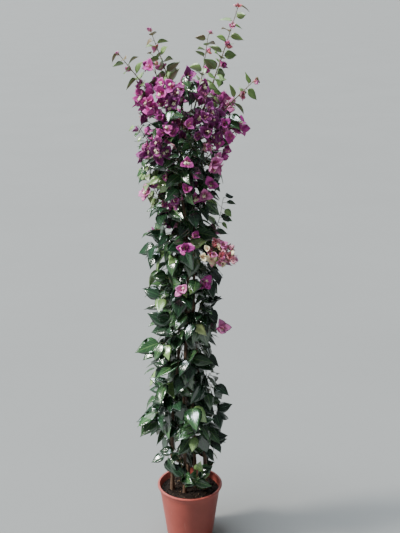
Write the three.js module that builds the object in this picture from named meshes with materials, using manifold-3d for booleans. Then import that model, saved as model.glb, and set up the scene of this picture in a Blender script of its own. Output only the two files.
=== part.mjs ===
// A bougainvillea trained as a tall narrow column, in a round plastic nursery pot.
// Millimetres, +Z up, origin at the middle of the pot's flat underside. The photograph looks along +Y.
// Five thin stems rise from the soil and draw together. Masses of leaves and bracts grow on all sides of
// them, and long shoots stand out of the top. Each mass keeps to the space that is nearest to its own seed.
import * as THREE from "three";
import { mergeVertices } from "three/addons/utils/BufferGeometryUtils.js";
import Module from "manifold-3d";

const wasm = await Module();
wasm.setup();

// Clearance between neighbouring solids.
const GAP = 0.3;
const SHORTEST_EDGE = 0.02;
const ROUNDING = 0.006;

// Pot
const POT_HEIGHT = 165;
const POT_FOOT_RADIUS = 60.5;
const POT_WALL_TOP_RADIUS = 86;
const POT_LIP_RADIUS = 90;
const POT_LIP_HEIGHT = 4;
const POT_COLLAR_HEIGHT = 17;
const POT_COLLAR_STEP = 1.3;
const POT_WALL = 1.8;
const POT_FLOOR = 3;
const POT_FOOT_CHAMFER = 2.5;
const POT_SEGMENTS = 30;
const DRAIN_COUNT = 6;
const DRAIN_RADIUS = 6;
const DRAIN_CIRCLE = 42;

// Soil
const SOIL_TOP = 150;
const SOIL_LEVEL_RADIUS = 62;
const SOIL_EDGE_DROP = 4;

// Outline of the plant: height, then the furthest reach to the left and to the right of the stems.
const LEAN = -0.012;
const REACH = [
  [205, 60, 64],
  [300, 88, 98],
  [370, 120, 100],
  [460, 121, 84],
  [590, 100, 80],
  [680, 106, 86],
  [740, 98, 90],
  [820, 100, 116],
  [880, 118, 88],
  [960, 100, 108],
  [1020, 116, 92],
  [1120, 112, 112],
  [1180, 112, 126],
  [1235, 128, 108],
  [1275, 100, 92],
  [1310, 60, 60],
];

// Stems: where each stands on the soil, the bearing of its tip from the axis, and the height of its tip.
const STEM_RING = 18;
const STEM_WIGGLE = 5;
const STEM_SPREAD_HEIGHT = 330;
const STEMS = [
  { name: "stem_left", foot: [-48, -6], ring: 180, tip: 1194, radius: 5.2, phase: 0.1 },
  { name: "stem_right", foot: [43, -4], ring: 0, tip: 1186, radius: 5.8, phase: 0.45 },
  { name: "stem_front", foot: [-14, -25], ring: 275, tip: 1178, radius: 4.6, phase: 0.8 },
  { name: "stem_middle", foot: [15, 6], ring: null, tip: 1212, radius: 5.2, phase: 0.3 },
  { name: "stem_back", foot: [-5, 44], ring: 92, tip: 1190, radius: 5.4, phase: 0.65 },
];
const STEM_TIP_RADIUS = 2.4;
const ROOT_FLARE = 0.75;
const ROOT_FLARE_HEIGHT = 14;
const STEM_SIDES = 6;
const STEM_RINGS = 16;
const STEM_CROWDING = 1.35;

// Long shoots: the stem each leaves, the height there, its bend, its tip, and the share of it that is bare.
const SHOOTS = [
  {
    name: "right_long",
    stem: "stem_right",
    leaves: 1112,
    bend: [84, -22, 1196],
    tip: [158, -30, 1270],
    bare: 0.62,
  },
  {
    name: "right_tall",
    stem: "stem_right",
    leaves: 1150,
    bend: [70, 8, 1290],
    tip: [120, 14, 1440],
    bare: 0.42,
  },
  {
    name: "back_right",
    stem: "stem_back",
    leaves: 1135,
    bend: [30, 66, 1250],
    tip: [50, 104, 1366],
    bare: 0.52,
  },
  {
    name: "left_tall",
    stem: "stem_left",
    leaves: 1150,
    bend: [-50, 0, 1268],
    tip: [-88, 8, 1378],
    bare: 0.5,
  },
  {
    name: "left_arching",
    stem: "stem_left",
    leaves: 1112,
    bend: [-92, -34, 1236],
    tip: [-164, -48, 1334],
    bare: 0.52,
  },
  {
    name: "back_left",
    stem: "stem_back",
    leaves: 1118,
    bend: [-40, 74, 1232],
    tip: [-92, 112, 1320],
    bare: 0.55,
  },
];
const BOUGH_RADIUS = 2.4;
const BOUGH_TIP_RADIUS = 1.5;
const SHOOT_LEAF_STEP = 19;
const SHOOT_LEAF_LENGTH = [60, 32];

// Masses in the column of leaves and in the head of bracts, set round the stems like leaves on a shoot.
const GOLDEN = Math.PI * (3 - Math.sqrt(5));
const FIRST_BEARING = 4.3;
const COLUMN = { count: 20, low: 240, high: 980, seedRadius: 50, outward: 0.3 };
const HEAD = { count: 8, low: 1022, high: 1178, seedRadius: 64, outward: 0.45 };
const SHOOT_WEIGHT = 60 * 60;
const LOW_SPRIGS = { count: 2, height: 196, radius: 46, bearing: 4.5 };
const CROWN_HEIGHT = 1242;

// The rule by which a mass branches.
const TWIGS = { leaf: 3, bract: 5 };
const TWIG_LENGTH = [42, 60];
const TWIG_RADIUS = 1.7;
const TWIG_TIP_RADIUS = 1.1;
const MASS_STEM_RADIUS = 2;
const TWIG_SLOTS = [0.35, 0.66, 0.97];
const STEM_SLOTS = [0.45, 0.72, 0.98];
const TRIES = 16;
const FREE_FROM = 4;
const LEAF_LENGTH = [68, 86];
const LEAF_WIDTH_SHARE = 0.66;
const LEAF_THICKNESS = 1.3;
const LEAF_WIDEST = 0.38;
const LEAF_FOLD = 0.16;
const LEAF_SUNK = 0.4;
const FLOWER_RADIUS = 25;
const FLOWER_DEPTH = 16;
const FLOWER_SUNK = 0.4;
const CELL_MARGIN = 0.3;

// Share of the places on the twigs that carry bracts instead of a leaf, by height.
const BLOOM = [
  [600, 0],
  [800, 0.1],
  [950, 0.24],
  [1010, 0.6],
  [1060, 0.78],
  [1300, 0.82],
];

const COLOURS = {
  pot: { color: 0xa8543f, roughness: 0.45, metalness: 0 },
  soil: { color: 0x2a1d16, roughness: 0.95, metalness: 0 },
  stem: { color: 0x6b5138, roughness: 0.8, metalness: 0 },
  leaf: { color: 0x2f5a2c, roughness: 0.45, metalness: 0 },
  youngLeaf: { color: 0x7d9a3f, roughness: 0.5, metalness: 0 },
  bract: { color: 0xb0328c, roughness: 0.6, metalness: 0 },
};

const UP = new THREE.Vector3(0, 0, 1);
const vec = (x, y, z) => new THREE.Vector3(x, y, z);
const mix = THREE.MathUtils.lerp;

// A number from 0 to 1 that depends only on its three keys.
function pick(a, b, c) {
  const wave = Math.sin(a * 12.9898 + b * 78.233 + c * 37.719) * 43758.5453;
  return wave - Math.floor(wave);
}

function between([low, high], a, b, c) {
  return mix(low, high, pick(a, b, c));
}

// The value at x on a line through [x, value, ...] rows.
function along(rows, x, column) {
  if (x <= rows[0][0]) return rows[0][column];
  for (let i = 1; i < rows.length; i++) {
    const [low, high] = [rows[i - 1], rows[i]];
    if (x <= high[0]) return mix(low[column], high[column], (x - low[0]) / (high[0] - low[0]));
  }
  return rows[rows.length - 1][column];
}

function axisAt(z) {
  return vec(LEAN * (z - SOIL_TOP), 0, z);
}

// How far the plant reaches from its axis at a height, in a direction.
function reachAt(z, out) {
  const [left, right] = [along(REACH, z, 1), along(REACH, z, 2)];
  const middle = (left + right) / 2;
  return middle + ((out.x > 0 ? right : left) - middle) * Math.abs(out.x);
}

function outwardAt(point) {
  const out = point.clone().sub(axisAt(point.z)).setZ(0);
  return out.lengthSq() > 1e-6 ? out.normalize() : vec(1, 0, 0);
}

// A closed three.js geometry as a solid, and back.
function solidOf(geometry) {
  const bare = geometry.clone();
  bare.deleteAttribute("normal");
  bare.deleteAttribute("uv");
  const merged = mergeVertices(bare, 1e-4);
  return new wasm.Manifold(
    new wasm.Mesh({
      numProp: 3,
      vertProperties: merged.attributes.position.array,
      triVerts: new Uint32Array(merged.index.array),
    }),
  );
}

function geometryOf(solid) {
  const mesh = solid.getMesh();
  const geometry = new THREE.BufferGeometry();
  geometry.setAttribute("position", new THREE.BufferAttribute(mesh.vertProperties, 3));
  geometry.setIndex(new THREE.BufferAttribute(mesh.triVerts, 1));
  const faceted = geometry.toNonIndexed();
  faceted.computeVertexNormals();
  return faceted;
}

// Whether all vertices of a solid stay apart once its coordinates are rounded.
function roundsWell(solid) {
  const { vertProperties } = solid.getMesh();
  return [0, 1 / 3, 2 / 3].every((shift) => {
    const places = new Set();
    for (let i = 0; i < vertProperties.length; i += 3) {
      const corner = vertProperties.slice(i, i + 3);
      places.add(Array.from(corner, (value) => Math.floor(value / ROUNDING + shift)).join());
    }
    return places.size === vertProperties.length / 3;
  });
}

// The largest body of a solid, without loose scraps, sealed hollows or edges too short to keep.
function largestBody(solid) {
  const bodies = solid.simplify(SHORTEST_EDGE).decompose();
  return bodies.reduce((best, body) => (body.volume() > best.volume() ? body : best));
}

// A tapering limb: a closed cylinder bent along a curve. A crowding over 1 sets its rings closer to its foot.
function limb(curve, radiusAt, sides, rings, crowding = 1) {
  const geometry = new THREE.CylinderGeometry(1, 1, 1, sides, rings);
  const position = geometry.attributes.position;
  const chord = curve.getPointAt(1).sub(curve.getPointAt(0)).normalize();
  const steady = Math.abs(chord.z) > 0.7 ? vec(1, 0, 0) : UP;
  for (let i = 0; i < position.count; i++) {
    const share = Math.pow(THREE.MathUtils.clamp(position.getY(i) + 0.5, 0, 1), crowding);
    const tangent = curve.getTangentAt(share);
    const side = steady.clone().cross(tangent).normalize();
    const front = side.clone().cross(tangent).normalize();
    const radius = radiusAt(share);
    const place = curve.getPointAt(share);
    place.addScaledVector(side, position.getX(i) * radius);
    place.addScaledVector(front, position.getZ(i) * radius);
    position.setXYZ(i, place.x, place.y, place.z);
  }
  return geometry;
}

// A double pyramid: a ring of corners with a crest on one side and a keel on the other.
function doublePyramid(corners, crest, keel) {
  const geometry = new THREE.SphereGeometry(1, corners.length, 2);
  const position = geometry.attributes.position;
  for (let i = 0; i < position.count; i++) {
    const [x, y, z] = [position.getX(i), position.getY(i), position.getZ(i)];
    const turn = (Math.atan2(z, -x) / (2 * Math.PI) + 1) * corners.length;
    const corner = corners[Math.round(turn) % corners.length];
    const place = Math.abs(y) < 0.5 ? corner : y > 0 ? crest : keel;
    position.setXYZ(i, place.x, place.y, place.z);
  }
  return geometry;
}

// A frame with its x along the leaf and its z off the leaf's face.
function frameAt(origin, direction, facing) {
  const x = direction.clone().normalize();
  const y = facing.clone().cross(x).normalize();
  const z = x.clone().cross(y);
  return new THREE.Matrix4().makeBasis(x, y, z).setPosition(origin);
}

function leafGeometry({ root, direction, facing, length }, sunk = LEAF_SUNK) {
  const half = (length * LEAF_WIDTH_SHARE) / 2;
  const widest = length * LEAF_WIDEST;
  const fold = half * LEAF_FOLD;
  const corners = [
    vec(-sunk, 0, 0),
    vec(widest, -half, fold),
    vec(length, 0, -length * 0.05),
    vec(widest, half, fold),
  ];
  const geometry = doublePyramid(
    corners,
    vec(widest * 0.8, 0, LEAF_THICKNESS / 2),
    vec(widest * 0.8, 0, -LEAF_THICKNESS / 2),
  );
  return geometry.applyMatrix4(frameAt(root, direction, facing));
}

// Three bracts as one open cup with three points, its keel sunk in the twig.
function flowerGeometry({ root, facing, radius, turn }, sunk = FLOWER_SUNK) {
  const corners = [];
  for (let i = 0; i < 6; i++) {
    const isTip = i % 2 === 0;
    const angle = turn + (i * Math.PI) / 3;
    const r = isTip ? radius : radius * 0.42;
    corners.push(vec(r * Math.cos(angle), r * Math.sin(angle), isTip ? FLOWER_DEPTH : FLOWER_DEPTH * 0.62));
  }
  const geometry = doublePyramid(corners, vec(0, 0, FLOWER_DEPTH * 0.4), vec(0, 0, -sunk));
  const steady = Math.abs(facing.z) > 0.9 ? vec(1, 0, 0) : UP;
  const across = steady.clone().cross(facing).normalize();
  return geometry.applyMatrix4(frameAt(root, across, facing));
}

function lathe(profile, segments) {
  const geometry = new THREE.LatheGeometry(
    profile.map(([r, z]) => new THREE.Vector2(r, z)),
    segments,
  );
  return geometry.rotateX(Math.PI / 2);
}

// Pot and soil

function potRadiusAt(z) {
  return mix(POT_FOOT_RADIUS, POT_WALL_TOP_RADIUS, z / POT_HEIGHT);
}

function pot() {
  const collarFoot = POT_HEIGHT - POT_COLLAR_HEIGHT;
  const lipFoot = POT_HEIGHT - POT_LIP_HEIGHT;
  const insideTop = potRadiusAt(POT_HEIGHT) - POT_WALL;
  const profile = [
    [0, 0],
    [POT_FOOT_RADIUS - POT_FOOT_CHAMFER, 0],
    [potRadiusAt(POT_FOOT_CHAMFER), POT_FOOT_CHAMFER],
    [potRadiusAt(collarFoot), collarFoot],
    [potRadiusAt(collarFoot) + POT_COLLAR_STEP, collarFoot + POT_COLLAR_STEP],
    [potRadiusAt(lipFoot) + POT_COLLAR_STEP, lipFoot],
    [POT_LIP_RADIUS - 0.8, lipFoot + 0.4],
    [POT_LIP_RADIUS, lipFoot + 1.6],
    [POT_LIP_RADIUS - 0.6, POT_HEIGHT - 0.4],
    [POT_LIP_RADIUS - 1.8, POT_HEIGHT],
    [insideTop + 0.8, POT_HEIGHT],
    [insideTop, POT_HEIGHT - 1],
    [potRadiusAt(POT_FLOOR) - POT_WALL, POT_FLOOR],
    [0, POT_FLOOR],
  ];
  const drains = [];
  for (let i = 0; i < DRAIN_COUNT; i++) {
    const angle = (i * 2 * Math.PI) / DRAIN_COUNT;
    const drain = new THREE.CylinderGeometry(DRAIN_RADIUS, DRAIN_RADIUS, POT_FLOOR * 4, 8);
    drain.rotateX(Math.PI / 2);
    drain.translate(DRAIN_CIRCLE * Math.cos(angle), DRAIN_CIRCLE * Math.sin(angle), 0);
    drains.push(solidOf(drain));
  }
  return solidOf(lathe(profile, POT_SEGMENTS)).subtract(wasm.Manifold.union(drains));
}

function soil() {
  const foot = POT_FLOOR + GAP;
  const edge = SOIL_TOP - SOIL_EDGE_DROP;
  const inside = (z) => potRadiusAt(z) - POT_WALL - GAP - 0.4;
  const profile = [
    [0, foot],
    [inside(foot), foot],
    [inside(edge), edge],
    [SOIL_LEVEL_RADIUS, SOIL_TOP],
    [0, SOIL_TOP],
  ];
  return solidOf(lathe(profile, POT_SEGMENTS));
}

// Stems and boughs

function stemCurve({ foot, ring, tip, phase }) {
  const bearing = THREE.MathUtils.degToRad(ring ?? 0);
  const ringPlace = vec(ring === null ? 0 : STEM_RING, 0, 0).applyAxisAngle(UP, bearing);
  const points = [];
  const steps = 9;
  for (let i = 0; i <= steps; i++) {
    const share = i / steps;
    const z = mix(SOIL_TOP + GAP, tip, share);
    const drawnIn = THREE.MathUtils.smoothstep(z, SOIL_TOP, SOIL_TOP + STEM_SPREAD_HEIGHT * 2);
    const sway = STEM_WIGGLE * Math.min(1, share * 4);
    const turn = 2 * Math.PI * (phase + 2.3 * share);
    const place = axisAt(z);
    place.x += mix(foot[0], ringPlace.x, drawnIn) + sway * Math.cos(turn);
    place.y += mix(foot[1], ringPlace.y, drawnIn) + sway * Math.sin(turn);
    points.push(place);
  }
  points[0].set(foot[0], foot[1], SOIL_TOP + GAP);
  points[1].set(mix(foot[0], points[1].x, 0.5), mix(foot[1], points[1].y, 0.5), points[1].z);
  return new THREE.CatmullRomCurve3(points);
}

function makeStem(spec) {
  const curve = stemCurve(spec);
  const length = curve.getLength();
  const radiusAt = (share) => {
    const flare = 1 + ROOT_FLARE * Math.exp((-share * length) / ROOT_FLARE_HEIGHT);
    return mix(spec.radius, STEM_TIP_RADIUS, Math.pow(share, 0.8)) * flare;
  };
  const shape = (wider) =>
    solidOf(limb(curve, (share) => radiusAt(share) + wider, STEM_SIDES, STEM_RINGS, STEM_CROWDING));
  const space = shape(GAP / Math.cos(Math.PI / STEM_SIDES));
  return { name: spec.name, tip: spec.tip, curve, radiusAt, solid: shape(0), space };
}

// The share of a curve's length at which it passes a height.
function shareAtHeight(curve, z) {
  let [low, high] = [0, 1];
  for (let i = 0; i < 30; i++) {
    const middle = (low + high) / 2;
    if (curve.getPointAt(middle).z < z) low = middle;
    else high = middle;
  }
  return low;
}

// Where a side limb begins: on its parent's axis, on the side that faces the target.
function footOn(parent, z, target) {
  const share = shareAtHeight(parent.curve, z);
  const centre = parent.curve.getPointAt(share);
  const tangent = parent.curve.getTangentAt(share);
  const away = target.clone().sub(centre);
  away.addScaledVector(tangent, -away.dot(tangent)).normalize();
  return { centre, away, surface: centre.clone().addScaledVector(away, parent.radiusAt(share) + GAP) };
}

// A side limb sprung from the axis of its parent and cut back to clear every stem.
function sprung(geometry, stemSpace) {
  return largestBody(solidOf(geometry).subtract(stemSpace));
}

function shootCurve(spec, stems) {
  const parent = stems.find((stem) => stem.name === spec.stem);
  const bend = vec(...spec.bend);
  const { centre, away } = footOn(parent, spec.leaves, bend);
  const knee = centre.clone().addScaledVector(away, 14).add(vec(0, 0, 9));
  return new THREE.CatmullRomCurve3([centre, knee, bend, vec(...spec.tip)]);
}

function partOfCurve(whole, from, to, count) {
  const points = [];
  for (let i = 0; i <= count; i++) points.push(whole.getPointAt(mix(from, to, i / count)));
  return new THREE.CatmullRomCurve3(points);
}

function makeShoot(spec, stems, stemSpace) {
  const whole = shootCurve(spec, stems);
  const boughCurve = partOfCurve(whole, 0, spec.bare, 6);
  const boughRadiusAt = (share) => mix(BOUGH_RADIUS, BOUGH_TIP_RADIUS, share);
  return {
    name: spec.name,
    bough: sprung(limb(boughCurve, boughRadiusAt, 5, 5), stemSpace),
    space: solidOf(limb(boughCurve, (share) => boughRadiusAt(share) + 2 * GAP, 5, 5)),
    tipCurve: partOfCurve(whole, spec.bare + GAP / whole.getLength(), 1, 5),
    seed: { place: whole.getPointAt(mix(spec.bare, 1, 0.4)), weight: SHOOT_WEIGHT },
  };
}

// Masses

function seedAt(name, kind, z, bearing, radius) {
  const place = axisAt(z).add(vec(radius * Math.cos(bearing), radius * Math.sin(bearing), 0));
  return { name, kind, place, weight: radius * radius, outward: 0.3 };
}

function massSeeds() {
  const seeds = [];
  for (let i = 0; i < LOW_SPRIGS.count; i++) {
    const bearing = LOW_SPRIGS.bearing + i * Math.PI;
    seeds.push(seedAt(`low_sprig_${i + 1}`, "leaf", LOW_SPRIGS.height, bearing, LOW_SPRIGS.radius));
  }
  let bearing = FIRST_BEARING;
  for (const [group, kind, word] of [
    [COLUMN, "leaf", "leaf_mass"],
    [HEAD, "bract", "bract_mass"],
  ]) {
    for (let i = 0; i < group.count; i++) {
      const z = mix(group.low, group.high, i / (group.count - 1));
      const seed = seedAt(`${word}_${i + 1}`, kind, z, bearing, group.seedRadius);
      seeds.push({ ...seed, outward: group.outward });
      bearing += GOLDEN;
    }
  }
  seeds.push({ ...seedAt("crown_mass", "bract", CROWN_HEIGHT, 0, 0), onTip: true });
  return seeds;
}

// Flat planes towards every other seed bound a mass's own space, which is convex. A seed's weight is the
// square of its distance from the stems, so that every mass has a length of stem in its space.
function spaceAround(seed, seeds) {
  const planes = seeds
    .filter((other) => other !== seed)
    .map((other) => {
      const normal = other.place.clone().sub(seed.place);
      const rise = other.place.lengthSq() - other.weight - seed.place.lengthSq() + seed.weight;
      const limit = rise / (2 * normal.length()) - CELL_MARGIN;
      return { normal: normal.normalize(), limit };
    });
  return (point) => planes.every(({ normal, limit }) => normal.dot(point) <= limit);
}

// Above the soil inside the pot's rim, and above the rim outside it.
function clearOfPot(point) {
  const inside = Math.hypot(point.x, point.y) < POT_WALL_TOP_RADIUS - 12;
  return point.z > (inside ? SOIL_TOP + 2 : POT_HEIGHT + 2);
}

function withinReach(point) {
  const radius = point.clone().sub(axisAt(point.z)).setZ(0).length();
  return radius < reachAt(point.z, outwardAt(point));
}

function cornersOf(geometry) {
  const position = geometry.attributes.position;
  const corners = [];
  for (let i = 0; i < position.count; i++) corners.push(vec().fromBufferAttribute(position, i));
  return corners;
}

// Grows one mass: keeps each piece that stays in the mass's space and clear of every limb, and whose free
// part is clear of what has grown so far.
function grower(firstPiece, mayHold) {
  const mass = { whole: firstPiece };
  mass.add = (geometry, freePart) => {
    if (!cornersOf(geometry).every(mayHold)) return false;
    const solid = solidOf(geometry);
    if (!limbs.intersect(solid).isEmpty()) return false;
    if (!mass.whole.intersect(solidOf(freePart)).isEmpty()) return false;
    const joined = mass.whole.add(solid).simplify(SHORTEST_EDGE);
    if (!roundsWell(joined)) return false;
    mass.whole = joined;
    return true;
  };
  return mass;
}

function leafAt(root, twigWay, key, slot, attempt) {
  const out = outwardAt(root);
  const side = UP.clone().cross(out);
  const hand = (slot + attempt) % 2 === 0 ? 1 : -1;
  const spread = hand * between([0.1, 1], key, slot, 2 + attempt);
  const droop = between([-0.4, 0.9], key, slot, 12 + attempt);
  const direction = out
    .clone()
    .multiplyScalar(between([0, 0.7], key, slot, 22 + attempt))
    .addScaledVector(side, spread)
    .addScaledVector(UP, -droop)
    .addScaledVector(twigWay, 0.8)
    .normalize();
  const facing = out
    .clone()
    .addScaledVector(UP, 0.5)
    .addScaledVector(side, between([-0.4, 0.4], key, slot, 7))
    .normalize();
  const length = between(LEAF_LENGTH, key, slot, 3) * (1 - attempt * 0.03);
  return { root, direction, facing, length };
}

function flowerAt(root, twigWay, key, slot, attempt) {
  const out = outwardAt(root);
  const side = UP.clone().cross(out);
  const facing = out
    .clone()
    .multiplyScalar(0.8)
    .addScaledVector(UP, between([-0.4, 0.9], key, slot, 11 + attempt))
    .addScaledVector(side, between([-1.1, 1.1], key, slot, 21 + attempt))
    .addScaledVector(twigWay, 0.3)
    .normalize();
  const radius = FLOWER_RADIUS * (1 - attempt * 0.04);
  return { root, facing, radius, turn: 2 * Math.PI * pick(key, slot, 31) };
}

// A leaf, or higher up on the plant more often a flower, at one place on a twig.
function addAt(mass, root, twigWay, key, slot) {
  const blooms = pick(key, slot, 6) < along(BLOOM, root.z, 1);
  for (let attempt = 0; attempt < TRIES; attempt++) {
    if (blooms) {
      const flower = flowerAt(root, twigWay, key, slot, attempt);
      if (mass.add(flowerGeometry(flower), flowerGeometry(flower, -FREE_FROM))) return;
    } else {
      const leaf = leafAt(root, twigWay, key, slot, attempt);
      if (mass.add(leafGeometry(leaf), leafGeometry(leaf, -FREE_FROM))) return;
    }
  }
}

// Where a mass may spring from a stem inside its own space, the nearest and a little below its seed first.
function feetFor(seed, stems, inSpace) {
  const feet = [];
  for (const stem of stems) {
    for (let drop = -10; drop <= 90; drop += 5) {
      const z = seed.z - drop;
      if (z < SOIL_TOP + 20 || z > stem.tip - 6) continue;
      const foot = footOn(stem, z, seed);
      const cost = foot.surface.distanceTo(seed) + Math.abs(drop - 25) * 0.3;
      if (inSpace(foot.centre) && inSpace(foot.surface)) feet.push({ ...foot, cost });
    }
  }
  return feet.sort((a, b) => a.cost - b.cost);
}

// A mass's own stem: from the first foot that lets it pass clear of the boughs, or from the tallest tip.
function massStem(seed, inSpace) {
  const radiusAt = (share) => mix(MASS_STEM_RADIUS, TWIG_RADIUS, share);
  if (seed.onTip) {
    const tip = stems.reduce((best, stem) => (stem.tip > best.tip ? stem : best)).curve.getPointAt(1);
    const curve = new THREE.LineCurve3(tip.add(vec(0, 0, GAP)), seed.place);
    return { curve, solid: solidOf(limb(curve, radiusAt, 4, 2)) };
  }
  for (const { centre, away } of feetFor(seed.place, stems, inSpace)) {
    const knee = centre.clone().addScaledVector(away, 12).add(vec(0, 0, 4));
    const curve = new THREE.CatmullRomCurve3([centre, knee, seed.place]);
    const solid = sprung(limb(curve, radiusAt, 4, 3), stemSpace);
    if (boughs.intersect(solid).isEmpty()) return { curve, solid };
  }
  throw new Error(`${seed.name} finds no stem`);
}

// Twigs turn by the golden angle round the mass's own stem, which points outward, or up at the crown.
function twigWay(seed, out, turn) {
  const side = UP.clone().cross(out);
  const [across, ahead] = seed.onTip ? [out, UP] : [UP, out];
  return side
    .multiplyScalar(Math.cos(turn))
    .addScaledVector(across, Math.sin(turn))
    .addScaledVector(ahead, seed.outward)
    .normalize();
}

function addTwig(mass, start, way, key, number) {
  const length = between(TWIG_LENGTH, key, number, 5);
  for (let attempt = 0; attempt < TRIES; attempt++) {
    const end = start.clone().addScaledVector(way, length * (1 - attempt * 0.06));
    const root = start.clone().addScaledVector(way, 0.1 * attempt);
    const from = (distance) => new THREE.LineCurve3(root.clone().addScaledVector(way, distance), end);
    const radiusAt = (share) => mix(TWIG_RADIUS, TWIG_TIP_RADIUS, share);
    if (mass.add(limb(from(0), radiusAt, 3, 1), limb(from(FREE_FROM), radiusAt, 3, 1))) return end;
  }
  return null;
}

function makeMass(seed, key) {
  const inSpace = spaceAround(seed, allSeeds);
  const { curve, solid } = massStem(seed, inSpace);
  const mass = grower(solid, (corner) => inSpace(corner) && clearOfPot(corner) && withinReach(corner));
  const out = outwardAt(seed.place);
  const twigs = TWIGS[seed.kind];
  for (let j = 0; j < twigs; j++) {
    const start = curve.getPointAt(mix(0.4, 0.97, j / (twigs - 1)));
    const way = twigWay(seed, out, j * GOLDEN + key);
    const end = addTwig(mass, start, way, key, j);
    if (!end) continue;
    TWIG_SLOTS.forEach((share, i) => addAt(mass, start.clone().lerp(end, share), way, key, j * 4 + i));
  }
  STEM_SLOTS.forEach((share, i) => addAt(mass, curve.getPointAt(share), UP, key, 40 + i));
  return largestBody(mass.whole);
}

// A shoot's leafy end: leaves in turn along one stem, smaller towards the tip, with a few young bracts.
function makeShootTip(shoot, key) {
  const curve = shoot.tipCurve;
  const stalk = solidOf(limb(curve, (share) => mix(BOUGH_TIP_RADIUS, 0.8, share), 3, 5));
  const mass = grower(stalk, spaceAround(shoot.seed, allSeeds));
  const nodes = Math.round(curve.getLength() / SHOOT_LEAF_STEP);
  for (let j = 0; j <= nodes; j++) {
    const share = mix(0.06, 0.99, j / nodes);
    const root = curve.getPointAt(share);
    const way = curve.getTangentAt(share);
    const turned = way.clone().cross(UP).normalize().applyAxisAngle(way, j * GOLDEN);
    const direction = turned.clone().addScaledVector(way, 0.55).normalize();
    const facing = UP.clone().addScaledVector(turned, -0.2).normalize();
    const length = mix(SHOOT_LEAF_LENGTH[0], SHOOT_LEAF_LENGTH[1], share) * between([0.85, 1.15], key, j, 9);
    if (j % 3 === 1) {
      const open = direction.clone().addScaledVector(way, 0.4).normalize();
      const flower = { root, facing: open, radius: mix(16, 10, share), turn: j };
      mass.add(flowerGeometry(flower), flowerGeometry(flower, -FREE_FROM));
    } else {
      const leaf = { root, direction, facing, length };
      mass.add(leafGeometry(leaf), leafGeometry(leaf, -FREE_FROM));
    }
  }
  return largestBody(mass.whole);
}

// The plant

const plant = new THREE.Group();
plant.name = "potted_bougainvillea";

function addPart(name, solid, finish) {
  const mesh = new THREE.Mesh(geometryOf(solid), new THREE.MeshStandardMaterial(COLOURS[finish]));
  mesh.name = name;
  plant.add(mesh);
}

addPart("pot", pot(), "pot");
addPart("soil", soil(), "soil");

const stems = STEMS.map(makeStem);
stems.forEach((stem) => addPart(stem.name, stem.solid, "stem"));

const stemSpace = wasm.Manifold.union(stems.map((stem) => stem.space));

const shoots = SHOOTS.map((spec) => makeShoot(spec, stems, stemSpace));
shoots.forEach((shoot) => addPart(`bough_${shoot.name}`, shoot.bough, "stem"));

// What twigs and leaves have to miss.
const boughs = wasm.Manifold.union(shoots.map((shoot) => shoot.space));
const limbs = stemSpace.add(boughs);

const seeds = massSeeds();
const allSeeds = [...seeds, ...shoots.map((shoot) => shoot.seed)];
seeds.forEach((seed, i) => addPart(seed.name, makeMass(seed, i + 1), seed.kind));
shoots.forEach((shoot, i) => addPart(`shoot_${shoot.name}`, makeShootTip(shoot, i + 51), "youngLeaf"));

export default plant;
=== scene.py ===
"""The looks of a potted bougainvillea: pot, peat, barked stems, twigs, leaves, bracts and star flowers.

Blender 4.5, metres. The plant grows here from the same named sizes and the same rule as its solids, and
the rule is carried on to finer twigs, with leaves and bracts at their real size.
"""

import functools
import math
from collections import namedtuple

import bpy
import numpy as np
from mathutils import Matrix, Vector, noise


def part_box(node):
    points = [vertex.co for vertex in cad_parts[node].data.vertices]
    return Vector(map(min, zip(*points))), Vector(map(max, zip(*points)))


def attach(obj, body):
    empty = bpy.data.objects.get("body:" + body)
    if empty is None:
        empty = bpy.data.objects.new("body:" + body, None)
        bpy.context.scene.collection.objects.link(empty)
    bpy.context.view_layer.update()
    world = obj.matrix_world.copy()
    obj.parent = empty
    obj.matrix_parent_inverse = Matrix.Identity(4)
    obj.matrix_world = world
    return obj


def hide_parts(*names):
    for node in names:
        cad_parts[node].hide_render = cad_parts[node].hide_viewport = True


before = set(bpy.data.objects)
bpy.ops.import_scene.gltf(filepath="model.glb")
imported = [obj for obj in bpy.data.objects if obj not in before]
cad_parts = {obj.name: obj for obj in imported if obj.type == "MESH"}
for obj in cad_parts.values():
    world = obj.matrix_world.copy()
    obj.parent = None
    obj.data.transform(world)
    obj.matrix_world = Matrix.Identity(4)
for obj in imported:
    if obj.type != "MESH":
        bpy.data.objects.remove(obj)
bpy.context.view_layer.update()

bl_info = {
    "name": "Potted bougainvillea",
    "version": (1, 0, 0),
    "blender": (4, 5, 0),
    "location": "3D View > Sidebar > Bougainvillea",
    "description": "Builds a flowering bougainvillea column in its nursery pot, over its packed solids",
    "category": "Add Mesh",
}

UP = Vector((0, 0, 1))
SIDEWAYS = Vector((1, 0, 0))
GOLDEN = math.pi * (3 - math.sqrt(5))
FULL_TURN = 2 * math.pi
ANY_TURN = (0, 6.28)
STEEP = 0.9
ON_AXIS = 1e-4
TINY = 1e-9

# Pot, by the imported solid's box and the mould's own steps
POT_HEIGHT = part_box("pot")[1].z
POT_LIP_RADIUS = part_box("pot")[1].x
POT_FOOT_RADIUS = 0.0622
POT_WALL_TOP_RADIUS = 0.0848
POT_LIP_HEIGHT = 0.004
POT_COLLAR_HEIGHT = 0.017
POT_COLLAR_STEP = 0.0013
POT_WALL = 0.0018
POT_FLOOR = 0.003
POT_FOOT_CHAMFER = 0.0025
POT_MIDDLE = 0.100
POT_WALL_RINGS = 8
POT_SMOOTHING = 32
DRAIN_COUNT = 6
DRAIN_RADIUS = 0.006
DRAIN_CIRCLE = 0.042
DRAIN_DEPTH = 0.02
DRAIN_SIDES = 24

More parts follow.
